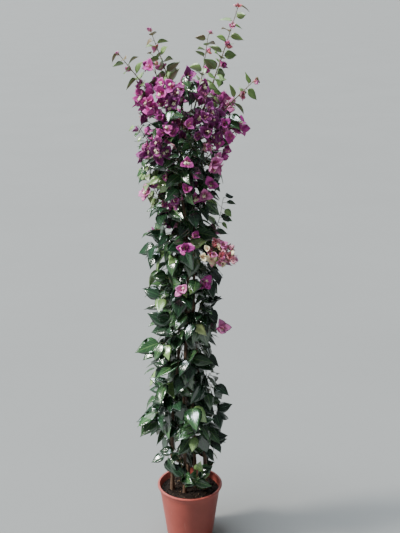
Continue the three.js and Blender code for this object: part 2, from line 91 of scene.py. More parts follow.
# Rounded edges of the pot, each as steps in radius and height from its sharp corner
FOOT_EDGE = [(-POT_FOOT_CHAMFER, 0), (-0.0007, 0.0007)]
COLLAR_FOOT_EDGE = [(POT_COLLAR_STEP * 0.75, 0.0004), (POT_COLLAR_STEP, POT_COLLAR_STEP)]
COLLAR_TOP_EDGE = [(-0.0002, -0.0006), (0.0002, 0)]
LIP_UNDER_EDGE = [(-0.0006, 0.0004), (0, 0.0012)]
LIP_OUTER_EDGE = [(0, -0.0014), (-0.0006, -0.0004), (-0.0018, 0)]
LIP_INNER_EDGE = [(0.0008, 0), (0, -0.0010)]
FLOOR_EDGE = 0.002

# Dust on the pot, and splashes of soil low on it
DUST_COLOUR = (0.62, 0.42, 0.33)
SPLASH_COLOUR = (0.20, 0.12, 0.08)

# Soil
SOIL_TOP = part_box("soil")[1].z
SOIL_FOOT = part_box("soil")[0].z
SOIL_LEVEL_RADIUS = 0.062
SOIL_EDGE_DROP = 0.004
SOIL_CLEARANCE = 0.0007
SOIL_TOP_MARGIN = 0.001
SOIL_SIDES = 96
SOIL_RINGS = 26
SOIL_CENTRE_RADIUS = 0.0005
SOIL_SMOOTHING = 50
WALL_FADE = 0.6
WALL_FADE_WIDTH = 0.006
BROAD_LUMPS = 45
FINE_LUMPS = 210
BROAD_LIFT = 0.8
FINE_LIFT = 0.45
CRUMB_SIZE = (0.0009, 0.0031)
CRUMB_STRETCH = (1.3, 0.9, 0.7)
CRUMB_LIFT = 0.25
CRUMB_TONE = 1.35
FIBRE_LENGTH = (0.003, 0.010)
FIBRE_RISE = (-0.1, 0.25)
FIBRE_RADIUS = (0.0003, 0.0009)
FIBRE_LIFT = 0.0012
FIBRE_BOW = 0.0006
FIBRE_COLOUR = (0.30, 0.20, 0.11)

# Outline of the plant: height, then the furthest reach to the left and to the right of the stems
LEAN = -0.012
REACH = [
    (0.175, 0.074, 0.074),
    (0.205, 0.064, 0.066),
    (0.300, 0.088, 0.098),
    (0.370, 0.120, 0.100),
    (0.460, 0.121, 0.084),
    (0.590, 0.100, 0.080),
    (0.680, 0.106, 0.086),
    (0.740, 0.098, 0.090),
    (0.820, 0.100, 0.116),
    (0.880, 0.118, 0.088),
    (0.960, 0.100, 0.108),
    (1.020, 0.116, 0.092),
    (1.120, 0.112, 0.112),
    (1.180, 0.112, 0.126),
    (1.235, 0.128, 0.108),
    (1.275, 0.100, 0.092),
    (1.310, 0.060, 0.060),
]

# Stems: where each stands on the soil, the bearing and height of its tip, its radius, and its sway's start
Stem = namedtuple("Stem", "name foot ring tip radius phase")
STEMS = [
    Stem("stem_left", (-0.048, -0.006), 180, 1.194, 0.0052, 0.10),
    Stem("stem_right", (0.043, -0.004), 0, 1.186, 0.0058, 0.45),
    Stem("stem_front", (-0.014, -0.025), 275, 1.178, 0.0046, 0.80),
    Stem("stem_middle", (0.015, 0.006), None, 1.212, 0.0052, 0.30),
    Stem("stem_back", (-0.005, 0.044), 92, 1.190, 0.0054, 0.65),
]
STEM_FOOT_HEIGHT = 0.150
STEM_KNOTS = 9
STEM_GAP = 0.0003
STEM_RING = 0.018
STEM_SWAY = 0.005
SWAY_RISE = 4
SWAY_TURNS = 2.3
STEM_SPREAD_HEIGHT = 0.660
STEM_TIP_RADIUS = 0.0024
STEM_TAPER = 0.8
ROOT_FLARE = 0.45
ROOT_FLARE_HEIGHT = 0.014

# Radii at the foot and at the tip of each kind of limb
BOUGH_RADII = (0.0024, 0.0015)
SHOOT_RADII = (0.0015, 0.0007)
MASS_STEM_RADII = (0.0020, 0.0016)
TWIG_RADII = (0.0016, 0.0009)
FINE_TWIG_RADII = (0.0009, 0.0006)
LONE_TWIG_RADII = (0.0013, 0.0007)
SIDE_SHOOT_RADII = (0.0012, 0.0006)
THORN_RADII = (0.0011, 0.00015)
LEAF_STALK_RADII = (0.0008, 0.0006)
FLOWER_STALK_RADII = (0.0006, 0.0009)
FLOWER_TUBE_RADII = (0.0007, 0.0013)

# Knees: how far a side limb goes out and up from its parent's middle before it heads for its tip
SHOOT_KNEE = (0.014, 0.009)
MASS_KNEE = (0.012, 0.004)
LONE_KNEE = (0.020, 0.012)
SPRAY_KNEE = (0.016, 0.008)
SIDE_SHOOT_KNEE = 0.2

# Long shoots: the stem each leaves, the height there, its bend, its tip, and the share of it that is bare
Shoot = namedtuple("Shoot", "name stem leaves bend tip bare")
SHOOTS = [
    Shoot("right_long", "stem_right", 1.112, (0.084, -0.022, 1.196), (0.158, -0.030, 1.270), 0.62),
    Shoot("right_tall", "stem_right", 1.150, (0.070, 0.008, 1.290), (0.120, 0.014, 1.440), 0.42),
    Shoot("back_right", "stem_back", 1.135, (0.030, 0.066, 1.250), (0.050, 0.104, 1.366), 0.52),
    Shoot("left_tall", "stem_left", 1.150, (-0.050, 0.000, 1.268), (-0.088, 0.008, 1.378), 0.50),
    Shoot("left_arching", "stem_left", 1.112, (-0.092, -0.034, 1.236), (-0.164, -0.048, 1.334), 0.52),
    Shoot("back_left", "stem_back", 1.118, (-0.040, 0.074, 1.232), (-0.092, 0.112, 1.320), 0.55),
]
SHOOT_WEIGHT = 0.060**2
SHOOT_MIDDLE = 0.4
SHOOT_LEAF_STEP = 0.0095
SHOOT_LEAF_LENGTHS = (0.044, 0.025)
SHOOT_LEAF_STALK = 0.005
SHOOT_LEAF_WAVE = 0.015
SHOOT_LEAF_ALONG = 0.45
SHOOT_LEAF_DROOP = (0.0, 0.7)
SHOOT_LEAF_FACES_OUT = 0.6
SHOOT_LEAF_FACES_UP = (0.2, 1.0)
SHOOT_LEAF_FACES_SIDE = (-1.1, 1.1)
SHOOT_LEAF_SIZES = (0.85, 1.15)
SHOOT_LEAF_FOLD = (0.2, 0.55)
SHOOT_LEAF_CURL = (-0.2, 0.7)
SHOOT_FIRST_LEAF = 0.03
SHOOT_BRACT_SIZES = (0.74, 0.40)
SHOOT_BRACT_STALK = 0.006
SHOOT_BRACT_TINTS = ("rose", "blush", "pink")

# Masses, set round the stems like leaves on a shoot
Group = namedtuple("Group", "word kind count low high radius outward")
FIRST_BEARING = 4.3
COLUMN = Group("leaf_mass", "leaf", 20, 0.240, 0.980, 0.050, 0.30)
HEAD = Group("bract_mass", "bract", 8, 1.022, 1.178, 0.064, 0.45)
LOW_SPRIG_COUNT = 2
LOW_SPRIG_HEIGHT = 0.196
LOW_SPRIG_RADIUS = 0.046
LOW_SPRIG_BEARING = 4.5
CROWN_HEIGHT = 1.242
SINGLE_OUTWARD = 0.3
SPACE_SLACK = 0.012
REACH_SLACK = 0.012
RIM_MARGIN = 0.012
POT_GAP = 0.002

# The rule by which a mass branches
TWIGS = {"leaf": 3, "bract": 5}
TWIG_LENGTH = (0.042, 0.060)
FINE_TWIG_LENGTH = (0.022, 0.048)
TWIG_FEET = (0.4, 0.97)
TWIG_BOW = (-0.10, 0.06)
FINE_TWIG_BOW = (-0.12, 0.1)
TWIG_DRAW_BACK = 0.07
TWIG_SLOTS = (0.25, 0.40, 0.55, 0.70, 0.85, 1.0)
FINE_TWIG_FEET = (0.25, 0.50, 0.75, 0.95)
FINE_TWIG_SLOTS = (0.45, 0.75, 1.0)
MASS_STEM_SLOTS = (0.45, 0.72, 0.98)
TWIG_END_LEAF = 0.88
FINE_TWIG_END_LEAF = 0.9
SIDE_ALONG = 0.6
SIDE_OUTWARD = 0.5
SPUR_STEP = 0.015
SPUR_RANGE = (0.235, 1.200)
SPUR_LENGTH = (0.012, 0.030)
SPUR_RISE = 0.35
SPUR_BOW = 0.001
SPUR_HALFWAY = 0.6
TRIES = 12

# Where a mass's own stem may leave a stem: the steps down, the usual drop, and what a metre off it costs
FOOT_STEPS = range(-2, 19)
FOOT_STEP = 0.005
FOOT_DROP = 0.025
FOOT_DROP_COST = 0.3
LOWEST_FOOT = 0.170
FOOT_BELOW_TIP = 0.006

# First keys of each kind of growth and of each kind of place on it, so that no two share their draws
MASS_KEY = 1
SHOOT_KEY = 51
SPUR_KEY = 71
LONE_KEY = 91
SPRAY_KEY = 101
SIDE_SHOOT_KEY = 121
TWIG_KEYS = 8
FINE_TWIG_KEYS = 4
MASS_STEM_FINE_TWIGS = 30
MASS_STEM_SPRAYS = 60
MASS_STEM_PLACES = 80
FINE_TWIG_SPRAYS = 100
MASS_STEM_FINE_SPRAYS = 170
FINE_TWIG_PLACES = 200
SPUR_PLACES = 300
SPUR_HALFWAY_PLACES = 500

# How a leaf lies: ranges of its ways, and shares that go outward, along its twig and along its stalk
LEAF_SPREAD = (0.1, 1)
LEAF_STAND = (0.1, 1.25)
DROOP = (0.2, 1.5)
LOW_DROOP = (-0.7, 0.2)
LEAF_FACES_OUT = 0.75
LEAF_FACES_UP = (0.25, 1.35)
LEAF_FACES_SIDE = (-1, 1)
LEAF_ALONG_TWIG = 0.8
LEAF_STALK_LENGTHS = (0.7, 1.3)
LEAF_STALK_OUT = 0.5
LEAF_STALK_UP = 0.35
LEAF_STALK_BOW = 0.0008
STALK_SINK = 0.002
EDGE_ON = 0.95
LEAF_FOLD = (0.05, 0.42)
LEAF_CURL = (0.1, 0.95)
LEAF_WAVE = (0.0, 0.035)
LEAF_SHRINK = 0.025
LEAF_MARKS = (0.2, 0.45, 0.72, 1.0)
LEAF_MARK_WIDTH = 0.8
LOW_LEAVES = 0.225
LOW_LEAF_SHARE = 0.72
HEAD_LEAVES = (0.85, 1.15)
HEAD_LEAF_SHARE = 0.68
SIDE_SHOOT_FACING = Vector((-0.3, -0.9, 0.3))

# How a flower stands: ranges of its ways, and shares of its length at its middle and its rim
FLOWER_SIZE = (0.80, 1.12)
FLOWER_STALK = (0.006, 0.013)
FLOWER_FACES_OUT = 0.8
FLOWER_FACES_UP = (-0.4, 0.9)
FLOWER_FACES_SIDE = (-1.1, 1.1)
FLOWER_ALONG_TWIG = 0.3
FLOWER_SHRINK = 0.03
FLOWER_MIDDLE = 0.45
FLOWER_RIM = 0.8

# Room: the least distance between the marks of leaves and flowers, and their clearance to the limbs
LEAF_SPACING = (0.0115, 0.0215)
OUTER_LEAVES = (0.045, 0.095)
CLOSE_LEAVES = (0.95, 1.05)
FLOWER_SPACING = 0.0085
SIDE_LEAF_SPACING = 0.005
FLOWER_GAP = 0.004
LEAF_GAP = 0.003
SPRAY_GAP = 0.003
SPUR_GAP = 0.002
SIDE_LEAF_GAP = 0.001
LIMB_STEP = 0.008
MOST_MARKS = 20000

# Share of the places on the twigs that carry bracts instead of a leaf, by height
BLOOM = [
    (0.800, 0.0),
    (0.850, 0.03),
    (0.900, 0.08),
    (0.980, 0.10),
    (1.045, 0.09),
    (1.090, 0.10),
    (1.130, 0.30),
    (1.300, 0.50),
]
BLOOM_CLUSTERS = 0.9
BLOOM_CLUSTER_SCALE = 24

# Share of the places for a leaf that carry one, by height: the feet of the stems stand bare
LEAF_SHARE = [(0.230, 0.30), (0.340, 1.0)]

# Places where leaves and no bracts grow between the clusters, with their radius
LEAFY_PLACES = [
    ((0.002, -0.062, 1.206), 0.026),
    ((-0.010, -0.060, 1.128), 0.040),
    ((-0.074, -0.036, 1.146), 0.026),
    ((0.086, -0.030, 1.186), 0.028),
    ((0.030, -0.060, 1.092), 0.024),
    ((-0.072, -0.040, 0.962), 0.032),
    ((0.032, -0.062, 0.845), 0.030),
    ((-0.080, -0.020, 0.800), 0.045),
    ((-0.112, -0.010, 1.246), 0.020),
    ((0.020, 0.070, 1.150), 0.036),
    ((-0.070, 0.050, 1.190), 0.030),
    ((0.084, 0.040, 1.110), 0.030),
]

# Places where all the leaves have one tint
TintedPlace = namedtuple("TintedPlace", "place radius tint")
TINTED_PLACES = [
    # The light places carry light leaves, whose colour is partly painted sunlight and sheen.
    TintedPlace((-0.085, -0.035, 1.020), 0.052, "light"),
    TintedPlace((0.010, -0.045, 0.215), 0.045, "mid"),
    TintedPlace((0.026, -0.050, 0.490), 0.034, "dark"),
    TintedPlace((-0.022, -0.050, 0.440), 0.024, "dark"),
    TintedPlace((0.060, 0.080, 0.880), 0.030, "light"),
    TintedPlace((-0.050, 0.080, 0.520), 0.024, "light"),
]

# Lone flowers out in front of the leaves, two to a twig
Lone = namedtuple("Lone", "end tint")
LONE_FLOWERS = [
    Lone((-0.010, -0.098, 0.872), "magenta"),
    Lone((-0.016, -0.094, 0.762), "pink"),
    Lone((0.080, -0.042, 0.640), "pink"),
    Lone((0.036, -0.050, 0.762), "magenta"),
    Lone((-0.098, -0.040, 0.994), "pink"),
]
LONE_FOOT_DROP = 0.045
LONE_SIZES = (1.05, 0.85)
LONE_FACINGS = (Vector((0.1, -0.8, 0.35)), Vector((-0.4, -0.8, 0.05)))
LONE_ALONG_TWIG = 0.6
LONE_STALK = 0.008
LONE_MARKS = (0, 0.012, 0.022)

# Leaf and bract outlines: share of the length, then share of the half width
LEAF_OUTLINE = [(0.05, 0.50), (0.17, 0.90), (0.33, 1.0), (0.53, 0.84), (0.74, 0.45), (0.89, 0.14)]
BRACT_OUTLINE = [(0.10, 0.55), (0.32, 0.97), (0.56, 0.98), (0.80, 0.56)]
LEAF_THICKNESS = 0.0006
BRACT_THICKNESS = 0.0004
BLADE_COLUMNS = (-1, -0.5, 0, 0.5, 1)
FOLD_EASE = 0.35
WAVE_RATE = 9
LEAST_CURL = 1e-3

# Share of the sprays that take each finish
# The light leaves' colour is partly painted sunlight and sheen.
LEAF_TINTS = [("dark", 0.58), ("mid", 0.965), ("light", 1.0)]
LEAF_TINT_SIZES = {"light": 0.88, "yellow": 0.68}
# The deep bracts are partly painted shade: darker purple copies of the magenta ones, as bracts look in
# shade, as well as the plant's own deeper tint.
BRACT_TINTS = [("magenta", 0.54), ("deep", 0.84), ("pink", 0.98), ("blush", 1.0)]
# Painted shade: these tints make the sprays on the head's right side mostly deep, as if in the plant's
# shade.
PAINTED_SHADE_TINTS = [("deep", 0.90), ("magenta", 1.0)]
LATE_TINTS = [("rose", 0.15), ("blush", 0.44), ("pink", 0.80), ("cream", 1.0)]

# Finish of each tint of leaf: its roughness, the tint of its veins, and their tone
LEAF_FINISHES = {
    "dark": (0.16, "mid", 1.5),
    "mid": (0.18, "light", 1.0),
    "light": (0.24, "yellow", 1.0),
    "yellow": (0.45, "yellow", 1.3),
    "young": (0.42, "yellow", 0.9),
    "bronze": (0.42, "young", 1.2),
}
LEAF_STALK_COLOUR = (0.12, 0.17, 0.05)

# Finish of each tint of bract: the tint of its veins, and their tone
BRACT_FINISHES = {
    "magenta": ("deep", 0.9),
    "deep": ("deep", 0.6),
    "pink": ("magenta", 1.0),
    "rose": ("pink", 1.0),
    "blush": ("pink", 1.0),
    "cream": ("blush", 1.0),
}
BRACT_FOOT_COLOUR = (0.55, 0.40, 0.38)
FLOWER_TUBE_COLOUR = (0.42, 0.20, 0.16)
FLOWER_STALK_COLOUR = (0.20, 0.10, 0.07)

# How a bract opens: ranges of its angle, length, fold, curl and wave
BRACT_OPENING = (0.28, 0.85)
BRACT_LENGTHS = (0.9, 1.1)
BRACT_FOLD = (0.25, 0.6)
BRACT_CURL = (-0.2, 0.8)
BRACT_WAVE = (0.01, 0.05)

# Star flowers and their tubes, three to a flower
TUBE_LENGTH = 0.016
TUBE_LENGTHS = (0.75, 1.1)
TUBE_LEAN = 0.22
TUBE_FOOT = 0.0012
TUBE_BOW = 0.0004
STAR_SHARE = 0.30
STAR_LEAST_SIZE = 0.7
STAR_LOBES = 5
STAR_RADIUS = (0.0050, 0.0066)
STAR_WAIST = 0.52
STAR_TIP_HEIGHT = 0.0008
STAR_WAIST_HEIGHT = 0.0002
STAR_UPPER_MIDDLE = (0, 0, -0.0002)
STAR_LOWER_MIDDLE = (0, 0, -0.0012)

# Sprays of flowers that stand out of the rest, the first a late one of small orange and pink bracts
Spray = namedtuple("Spray", "end count spread size tints")
SPRAYS = [
    Spray((0.066, -0.058, 0.843), 34, 0.038, 0.60, LATE_TINTS),
    Spray((0.094, -0.034, 1.150), 8, 0.028, 1.0, BRACT_TINTS),
    Spray((-0.084, -0.040, 1.212), 6, 0.024, 1.0, BRACT_TINTS),
    Spray((-0.070, -0.056, 1.098), 6, 0.024, 1.05, BRACT_TINTS),
    Spray((0.050, -0.064, 1.075), 5, 0.022, 1.0, BRACT_TINTS),
    # These two sprays on the head's right take the painted shade tints, darker as if in shade.
    Spray((0.040, -0.048, 1.190), 10, 0.028, 1.0, PAINTED_SHADE_TINTS),
    Spray((0.044, -0.050, 1.152), 7, 0.024, 1.0, PAINTED_SHADE_TINTS),
    Spray((-0.046, -0.046, 1.222), 7, 0.026, 1.0, BRACT_TINTS),
    Spray((-0.056, -0.040, 1.243), 8, 0.026, 1.0, BRACT_TINTS),
    Spray((-0.102, -0.030, 1.222), 5, 0.018, 1.0, BRACT_TINTS),
    Spray((0.010, 0.036, 1.214), 6, 0.024, 1.0, BRACT_TINTS),
    Spray((-0.050, 0.088, 1.120), 8, 0.026, 1.0, BRACT_TINTS),
    Spray((0.070, 0.072, 1.200), 7, 0.026, 1.0, BRACT_TINTS),
    Spray((-0.080, -0.028, 1.296), 1, 0.004, 1.10, BRACT_TINTS),
]
SPRAY_FLATNESS = 0.72
SPRAY_FOOT_DROP = 0.035
SPRAY_HIGHEST_FOOT = 1.170
SPRAY_OUTWARD = 0.45
SPRAY_UPWARD = 0.1
SPRAY_STRETCH = (0.25, 1.0)
SPRAY_SIZES = (0.85, 1.12)
SPRAY_FORK = 0.9
MIXED_TINTS_SIZE = 0.8

# Thin side shoots: the foot's height, the tip, the number, size and tints of the leaves, the bare share
SideShoot = namedtuple("SideShoot", "foot tip leaves size tints bare")
SIDE_SHOOTS = [
    SideShoot(0.840, (0.086, -0.026, 0.982), 8, 0.50, ("mid", "dark", "light"), 0.45),
    SideShoot(0.930, (-0.100, -0.036, 1.066), 9, 0.68, ("young", "light", "young", "mid"), 0.45),
    SideShoot(1.160, (0.036, -0.040, 1.300), 8, 0.52, ("young", "young", "bronze"), 0.40),
    SideShoot(1.165, (0.064, -0.030, 1.284), 6, 0.50, ("young",), 0.45),
    SideShoot(1.100, (0.092, -0.046, 1.190), 2, 1.0, ("mid",), 0.92),
    SideShoot(1.060, (-0.122, -0.020, 1.160), 6, 0.50, ("mid", "light"), 0.45),
    SideShoot(0.800, (-0.030, 0.104, 0.930), 7, 0.50, ("mid", "light"), 0.45),
    SideShoot(0.805, (0.062, -0.074, 0.850), 6, 0.42, ("light", "yellow"), 0.60),
    SideShoot(0.800, (-0.080, -0.034, 0.862), 3, 0.95, ("dark",), 0.80),
    SideShoot(0.560, (-0.070, -0.026, 0.596), 4, 0.92, ("dark", "mid"), 0.70),
    SideShoot(0.350, (-0.082, -0.026, 0.396), 4, 0.95, ("dark", "mid"), 0.70),
    SideShoot(0.352, (0.066, -0.022, 0.396), 3, 0.74, ("dark",), 0.70),
    SideShoot(0.430, (0.058, -0.024, 0.474), 2, 0.74, ("dark",), 0.85),
    SideShoot(0.166, (0.022, -0.042, 0.222), 7, 0.98, ("mid", "mid", "light", "dark"), 0.60),
    SideShoot(0.168, (-0.012, -0.044, 0.214), 5, 0.95, ("mid", "dark"), 0.62),
    SideShoot(0.170, (-0.020, 0.056, 0.194), 5, 1.0, ("mid",), 0.75),
    SideShoot(0.232, (-0.060, -0.014, 0.258), 2, 0.75, ("dark",), 0.80),
    # These short shoots in front each set a light or yellow leaf where a leaf catches the sun: their
    # brightened colour is partly painted sunlight and sheen.
    SideShoot(0.800, (-0.034, -0.058, 0.840), 2, 0.80, ("light", "mid"), 0.92),
    SideShoot(0.745, (0.016, -0.062, 0.782), 2, 0.75, ("light", "mid"), 0.92),
    SideShoot(0.690, (-0.066, -0.044, 0.728), 2, 0.85, ("light", "dark"), 0.92),
    SideShoot(0.630, (0.010, -0.060, 0.666), 2, 0.85, ("yellow", "dark"), 0.92),
    SideShoot(0.565, (-0.060, -0.048, 0.604), 2, 0.85, ("light", "mid"), 0.92),
    SideShoot(0.390, (0.004, -0.062, 0.430), 2, 0.95, ("light", "mid"), 0.92),
    SideShoot(0.272, (0.052, -0.020, 0.312), 3, 0.70, ("dark",), 0.70),
]
SIDE_SHOOT_BOW = 0.15
SIDE_SHOOT_TURN = 1.4

# Bark: the grain of its ridges round and along a limb, its knots and its thorns
RIDGES_ROUND = 3.2
RIDGES_ALONG = 38
FINER_RIDGES = 2.3
KNOT_STEP = 0.047
KNOT_SHARPNESS = 12
KNOT_RELIEF = 0.16
BARK_SAMPLE_STEP = 0.002
STEM_RING_STEP = 0.0035
BOUGH_RING_STEP = 0.004
STALK_RING_STEP = 0.006
TWIG_RING_STEP = 0.008
BARK_SMOOTHING = 60
THORN_LENGTH = (0.006, 0.011)
THORN_ROOT = 0.7
THORN_SLANT = 0.25

# Lamps: place, strength, spread in degrees and colour
Lamp = namedtuple("Lamp", "name place strength spread colour")
LAMPS = [
    Lamp("key", (-2.5, -0.4, 2.0), 5.4, 11, (1.0, 0.97, 0.92)),
    Lamp("sky", (-1.7, -0.3, 8.0), 6.0, 30, (0.84, 0.92, 1.0)),
    Lamp("back", (-2.0, 7.0, 6.0), 1.3, 41, (0.95, 0.98, 1.0)),
]
WORLD_COLOUR = (0.80, 0.86, 0.94, 1)
WORLD_STRENGTH = 0.10
FLOOR_SIZE = 240


def colour_property(name, description, default):
    return bpy.props.FloatVectorProperty(
        name=name, description=description, default=default, min=0, max=1, size=3, subtype="COLOR"
    )


def share_property(name, description, default, low=0, high=1):
    return bpy.props.FloatProperty(
        name=name, description=description, default=default, min=low, max=high, subtype="FACTOR"
    )


def length_property(name, description, default, low=0):
    return bpy.props.FloatProperty(
        name=name, description=description, default=default, min=low, unit="LENGTH"
    )


def angle_property(name, description, degrees):
    return bpy.props.FloatProperty(
        name=name, description=description, default=math.radians(degrees), unit="ROTATION"
    )


def count_property(name, description, default, low=0, high=5000):
    return bpy.props.IntProperty(name=name, description=description, default=default, min=low, max=high)


class PotSettings(bpy.types.PropertyGroup):
    colour: colour_property("Plastic", "Colour of the terracotta-coloured plastic", (0.36, 0.074, 0.056))
    segments: count_property("Segments", "Sides of the pot's round", 96, low=24, high=192)
    roughness: share_property("Roughness", "Roughness of the satin plastic", 0.42)


class SoilSettings(bpy.types.PropertyGroup):
    colour: colour_property("Peat", "Colour of the moist peat", (0.017, 0.011, 0.008))
    relief: length_property("Relief", "Height of the lumps in the surface", 0.0022)
    crumbs: count_property("Crumbs", "Number of loose crumbs on the surface", 520)
    fibres: count_property("Fibres", "Number of pale chips and fibres on the surface", 70)


class BarkSettings(bpy.types.PropertyGroup):
    colour: colour_property("Bark", "Colour of the ridges of the bark", (0.165, 0.098, 0.064))
    green: colour_property("Green wood", "Colour of the young twigs", (0.090, 0.110, 0.035))
    shoot: colour_property("Young shoots", "Colour of the reddish young shoots", (0.140, 0.085, 0.040))
    relief: share_property(
        "Relief", "Depth of the ridges as a share of the limb's radius", 0.12, high=0.4
    )


class LeafSettings(bpy.types.PropertyGroup):
    shortest: length_property("Shortest leaf", "Length of the shortest full-grown leaf", 0.053, low=0.01)
    longest: length_property("Longest leaf", "Length of the longest leaf", 0.075, low=0.01)
    width: share_property("Width", "Width of a leaf as a share of its length", 0.68, low=0.2)
    stalk: length_property("Leaf stalk", "Length of a leaf's stalk", 0.009)
    dark: colour_property("Dark leaves", "Colour of the old leaves", (0.016, 0.045, 0.022))
    mid: colour_property("Mid leaves", "Colour of the full-grown leaves", (0.032, 0.088, 0.034))
    # Painted sunlight: the light and yellow colours are the new and pale leaves' own tints, brightened
    # further to stand for leaves that catch the sun and shine.
    light: colour_property("Light leaves", "Colour of the new leaves", (0.200, 0.350, 0.115))
    yellow: colour_property("Yellow leaves", "Colour of the few pale leaves", (0.400, 0.490, 0.180))
    bronze: colour_property(
        "Shoot tips",
        "Colour of the youngest leaves, at the tips of the long shoots",
        (0.160, 0.105, 0.045),
    )
    young: colour_property(
        "Shoot leaves", "Colour of the young leaves on the long shoots", (0.112, 0.215, 0.042)
    )


class BractSettings(bpy.types.PropertyGroup):
    length: length_property("Bract length", "Length of a full-grown bract", 0.0265, low=0.005)
    width: share_property("Width", "Width of a bract as a share of its length", 0.80, low=0.2)
    magenta: colour_property("Magenta bracts", "Colour of most bracts", (0.560, 0.045, 0.350))
    # Partly painted shade: the deep colour is the darker purple of magenta bracts in shade, as well as
    # their own deeper tint.
    deep: colour_property("Deep bracts", "Colour of the purple bracts", (0.270, 0.020, 0.190))
    pink: colour_property("Pink bracts", "Colour of the light bracts", (0.740, 0.210, 0.490))
    rose: colour_property(
        "Rose bracts", "Colour of the few orange and rose bracts", (0.780, 0.180, 0.210)
    )
    blush: colour_property(
        "Blush bracts",
        "Colour of the pale rose bracts of the late cluster and the shoots",
        (0.900, 0.420, 0.500),
    )
    cream: colour_property(
        "Cream bracts", "Colour of the palest bracts of the late cluster", (0.860, 0.800, 0.480)
    )
    star: colour_property(
        "Star flowers", "Colour of the small flowers inside the bracts", (0.880, 0.820, 0.560)
    )


class StageSettings(bpy.types.PropertyGroup):
    floor: colour_property("Floor", "Colour of the plain floor", (0.205, 0.208, 0.200))
    camera_distance: length_property(
        "Camera distance", "Distance of the camera in front of the plant's axis", 2.207
    )
    camera_height: length_property("Camera height", "Height of the camera above the floor", 1.491)
    camera_pitch: angle_property("Camera pitch", "Angle by which the camera looks down", 17.5)
    camera_yaw: angle_property("Camera yaw", "Angle by which the camera looks to the right", 0.73)
    camera_lens: bpy.props.FloatProperty(
        name="Lens",
        description="Focal length in millimetres on a 36 mm sensor",
        default=60.8,
    )
    light: bpy.props.FloatProperty(
        name="Light",
        description="Strength of all lamps together",
        default=1.0,
        min=0,
    )


# Numbers and curves


def mix(start, end, share):
    return start + (end - start) * share


def pick(a, b, c):
    """A number from 0 to 1 by its keys: two for a place, and one for each use there."""
    wave = math.sin(a * 12.9898 + b * 78.233 + c * 37.719) * 43758.5453
    return wave - math.floor(wave)


def between(limits, a, b, c):
    return mix(limits[0], limits[1], pick(a, b, c))


def along(rows, x, column=1):
    """The value at x on a line through (x, value, ...) rows."""
    return float(np.interp(x, [row[0] for row in rows], [row[column] for row in rows]))


def smoothstep(x, low, high):
    share = min(max((x - low) / (high - low), 0), 1)
    return share * share * (3 - 2 * share)


def tapered(radii):
    """The radius of a limb that narrows or widens evenly from its foot to its tip."""
    return lambda share: mix(*radii, share)


def axis_at(z):
    return Vector((LEAN * (z - STEM_FOOT_HEIGHT), 0, z))


def outward_at(point):
    out = point - axis_at(point.z)
    out.z = 0
    return out.normalized() if out.length > ON_AXIS else SIDEWAYS.copy()


def reach_at(z, out):
    left = along(REACH, z, 1)
    right = along(REACH, z, 2)
    middle = (left + right) / 2
    return middle + ((right if out.x > 0 else left) - middle) * abs(out.x)


def square_to(way):
    """A way square to a given one, level unless that one is steep."""
    steady = UP if abs(way.z) < STEEP else SIDEWAYS
    return way.cross(steady).normalized()


def turned_off(way, turn):
    """A way square to a given one, turned round it by an angle."""
    across = square_to(way)
    across.rotate(Matrix.Rotation(turn, 3, way))
    return across


class Path:
    """A smooth curve through a few points, read by the share of its length."""

    def __init__(self, knots, steps=16):
        knots = [Vector(knot) for knot in knots]
        ends = [knots[0] * 2 - knots[1], *knots, knots[-1] * 2 - knots[-2]]
        places = []
        for i in range(len(knots) - 1):
            before, start, end, after = ends[i : i + 4]
            first = max((start - before).length, TINY) ** 0.5
            second = max((end - start).length, TINY) ** 0.5
            third = max((after - end).length, TINY) ** 0.5
            leave = (start - before) / first - (end - before) / (first + second) + (end - start) / second
            arrive = (end - start) / second - (after - start) / (second + third) + (after - end) / third
            leave *= second
            arrive *= second
            for step in range(steps):
                t = step / steps
                place = start * (2 * t**3 - 3 * t**2 + 1) + leave * (t**3 - 2 * t**2 + t)
                places.append(place + end * (3 * t**2 - 2 * t**3) + arrive * (t**3 - t**2))
        places.append(knots[-1])
        self.places = np.array([tuple(place) for place in places])
        self.run = np.concatenate([[0], np.cumsum(np.linalg.norm(np.diff(self.places, axis=0), axis=1))])
        self.length = float(self.run[-1])

    def at(self, share):
        distance = share * self.length
        return Vector([float(np.interp(distance, self.run, self.places[:, k])) for k in range(3)])

    def way(self, share):
        step = 0.01
        return (self.at(min(share + step, 1)) - self.at(max(share - step, 0))).normalized()

    def share_at_height(self, z):
        return float(np.interp(z, self.places[:, 2], self.run)) / self.length

    def part(self, start, end, count):
        return Path([self.at(mix(start, end, i / count)) for i in range(count + 1)])


Limb = namedtuple("Limb", "name path radius_at")
Leaf = namedtuple("Leaf", "root base direction facing length tint fold curl wave phase")
Flower = namedtuple("Flower", "root base facing size turn tint key")
Seed = namedtuple("Seed", "name kind place weight outward on_tip")


# How the plant grows


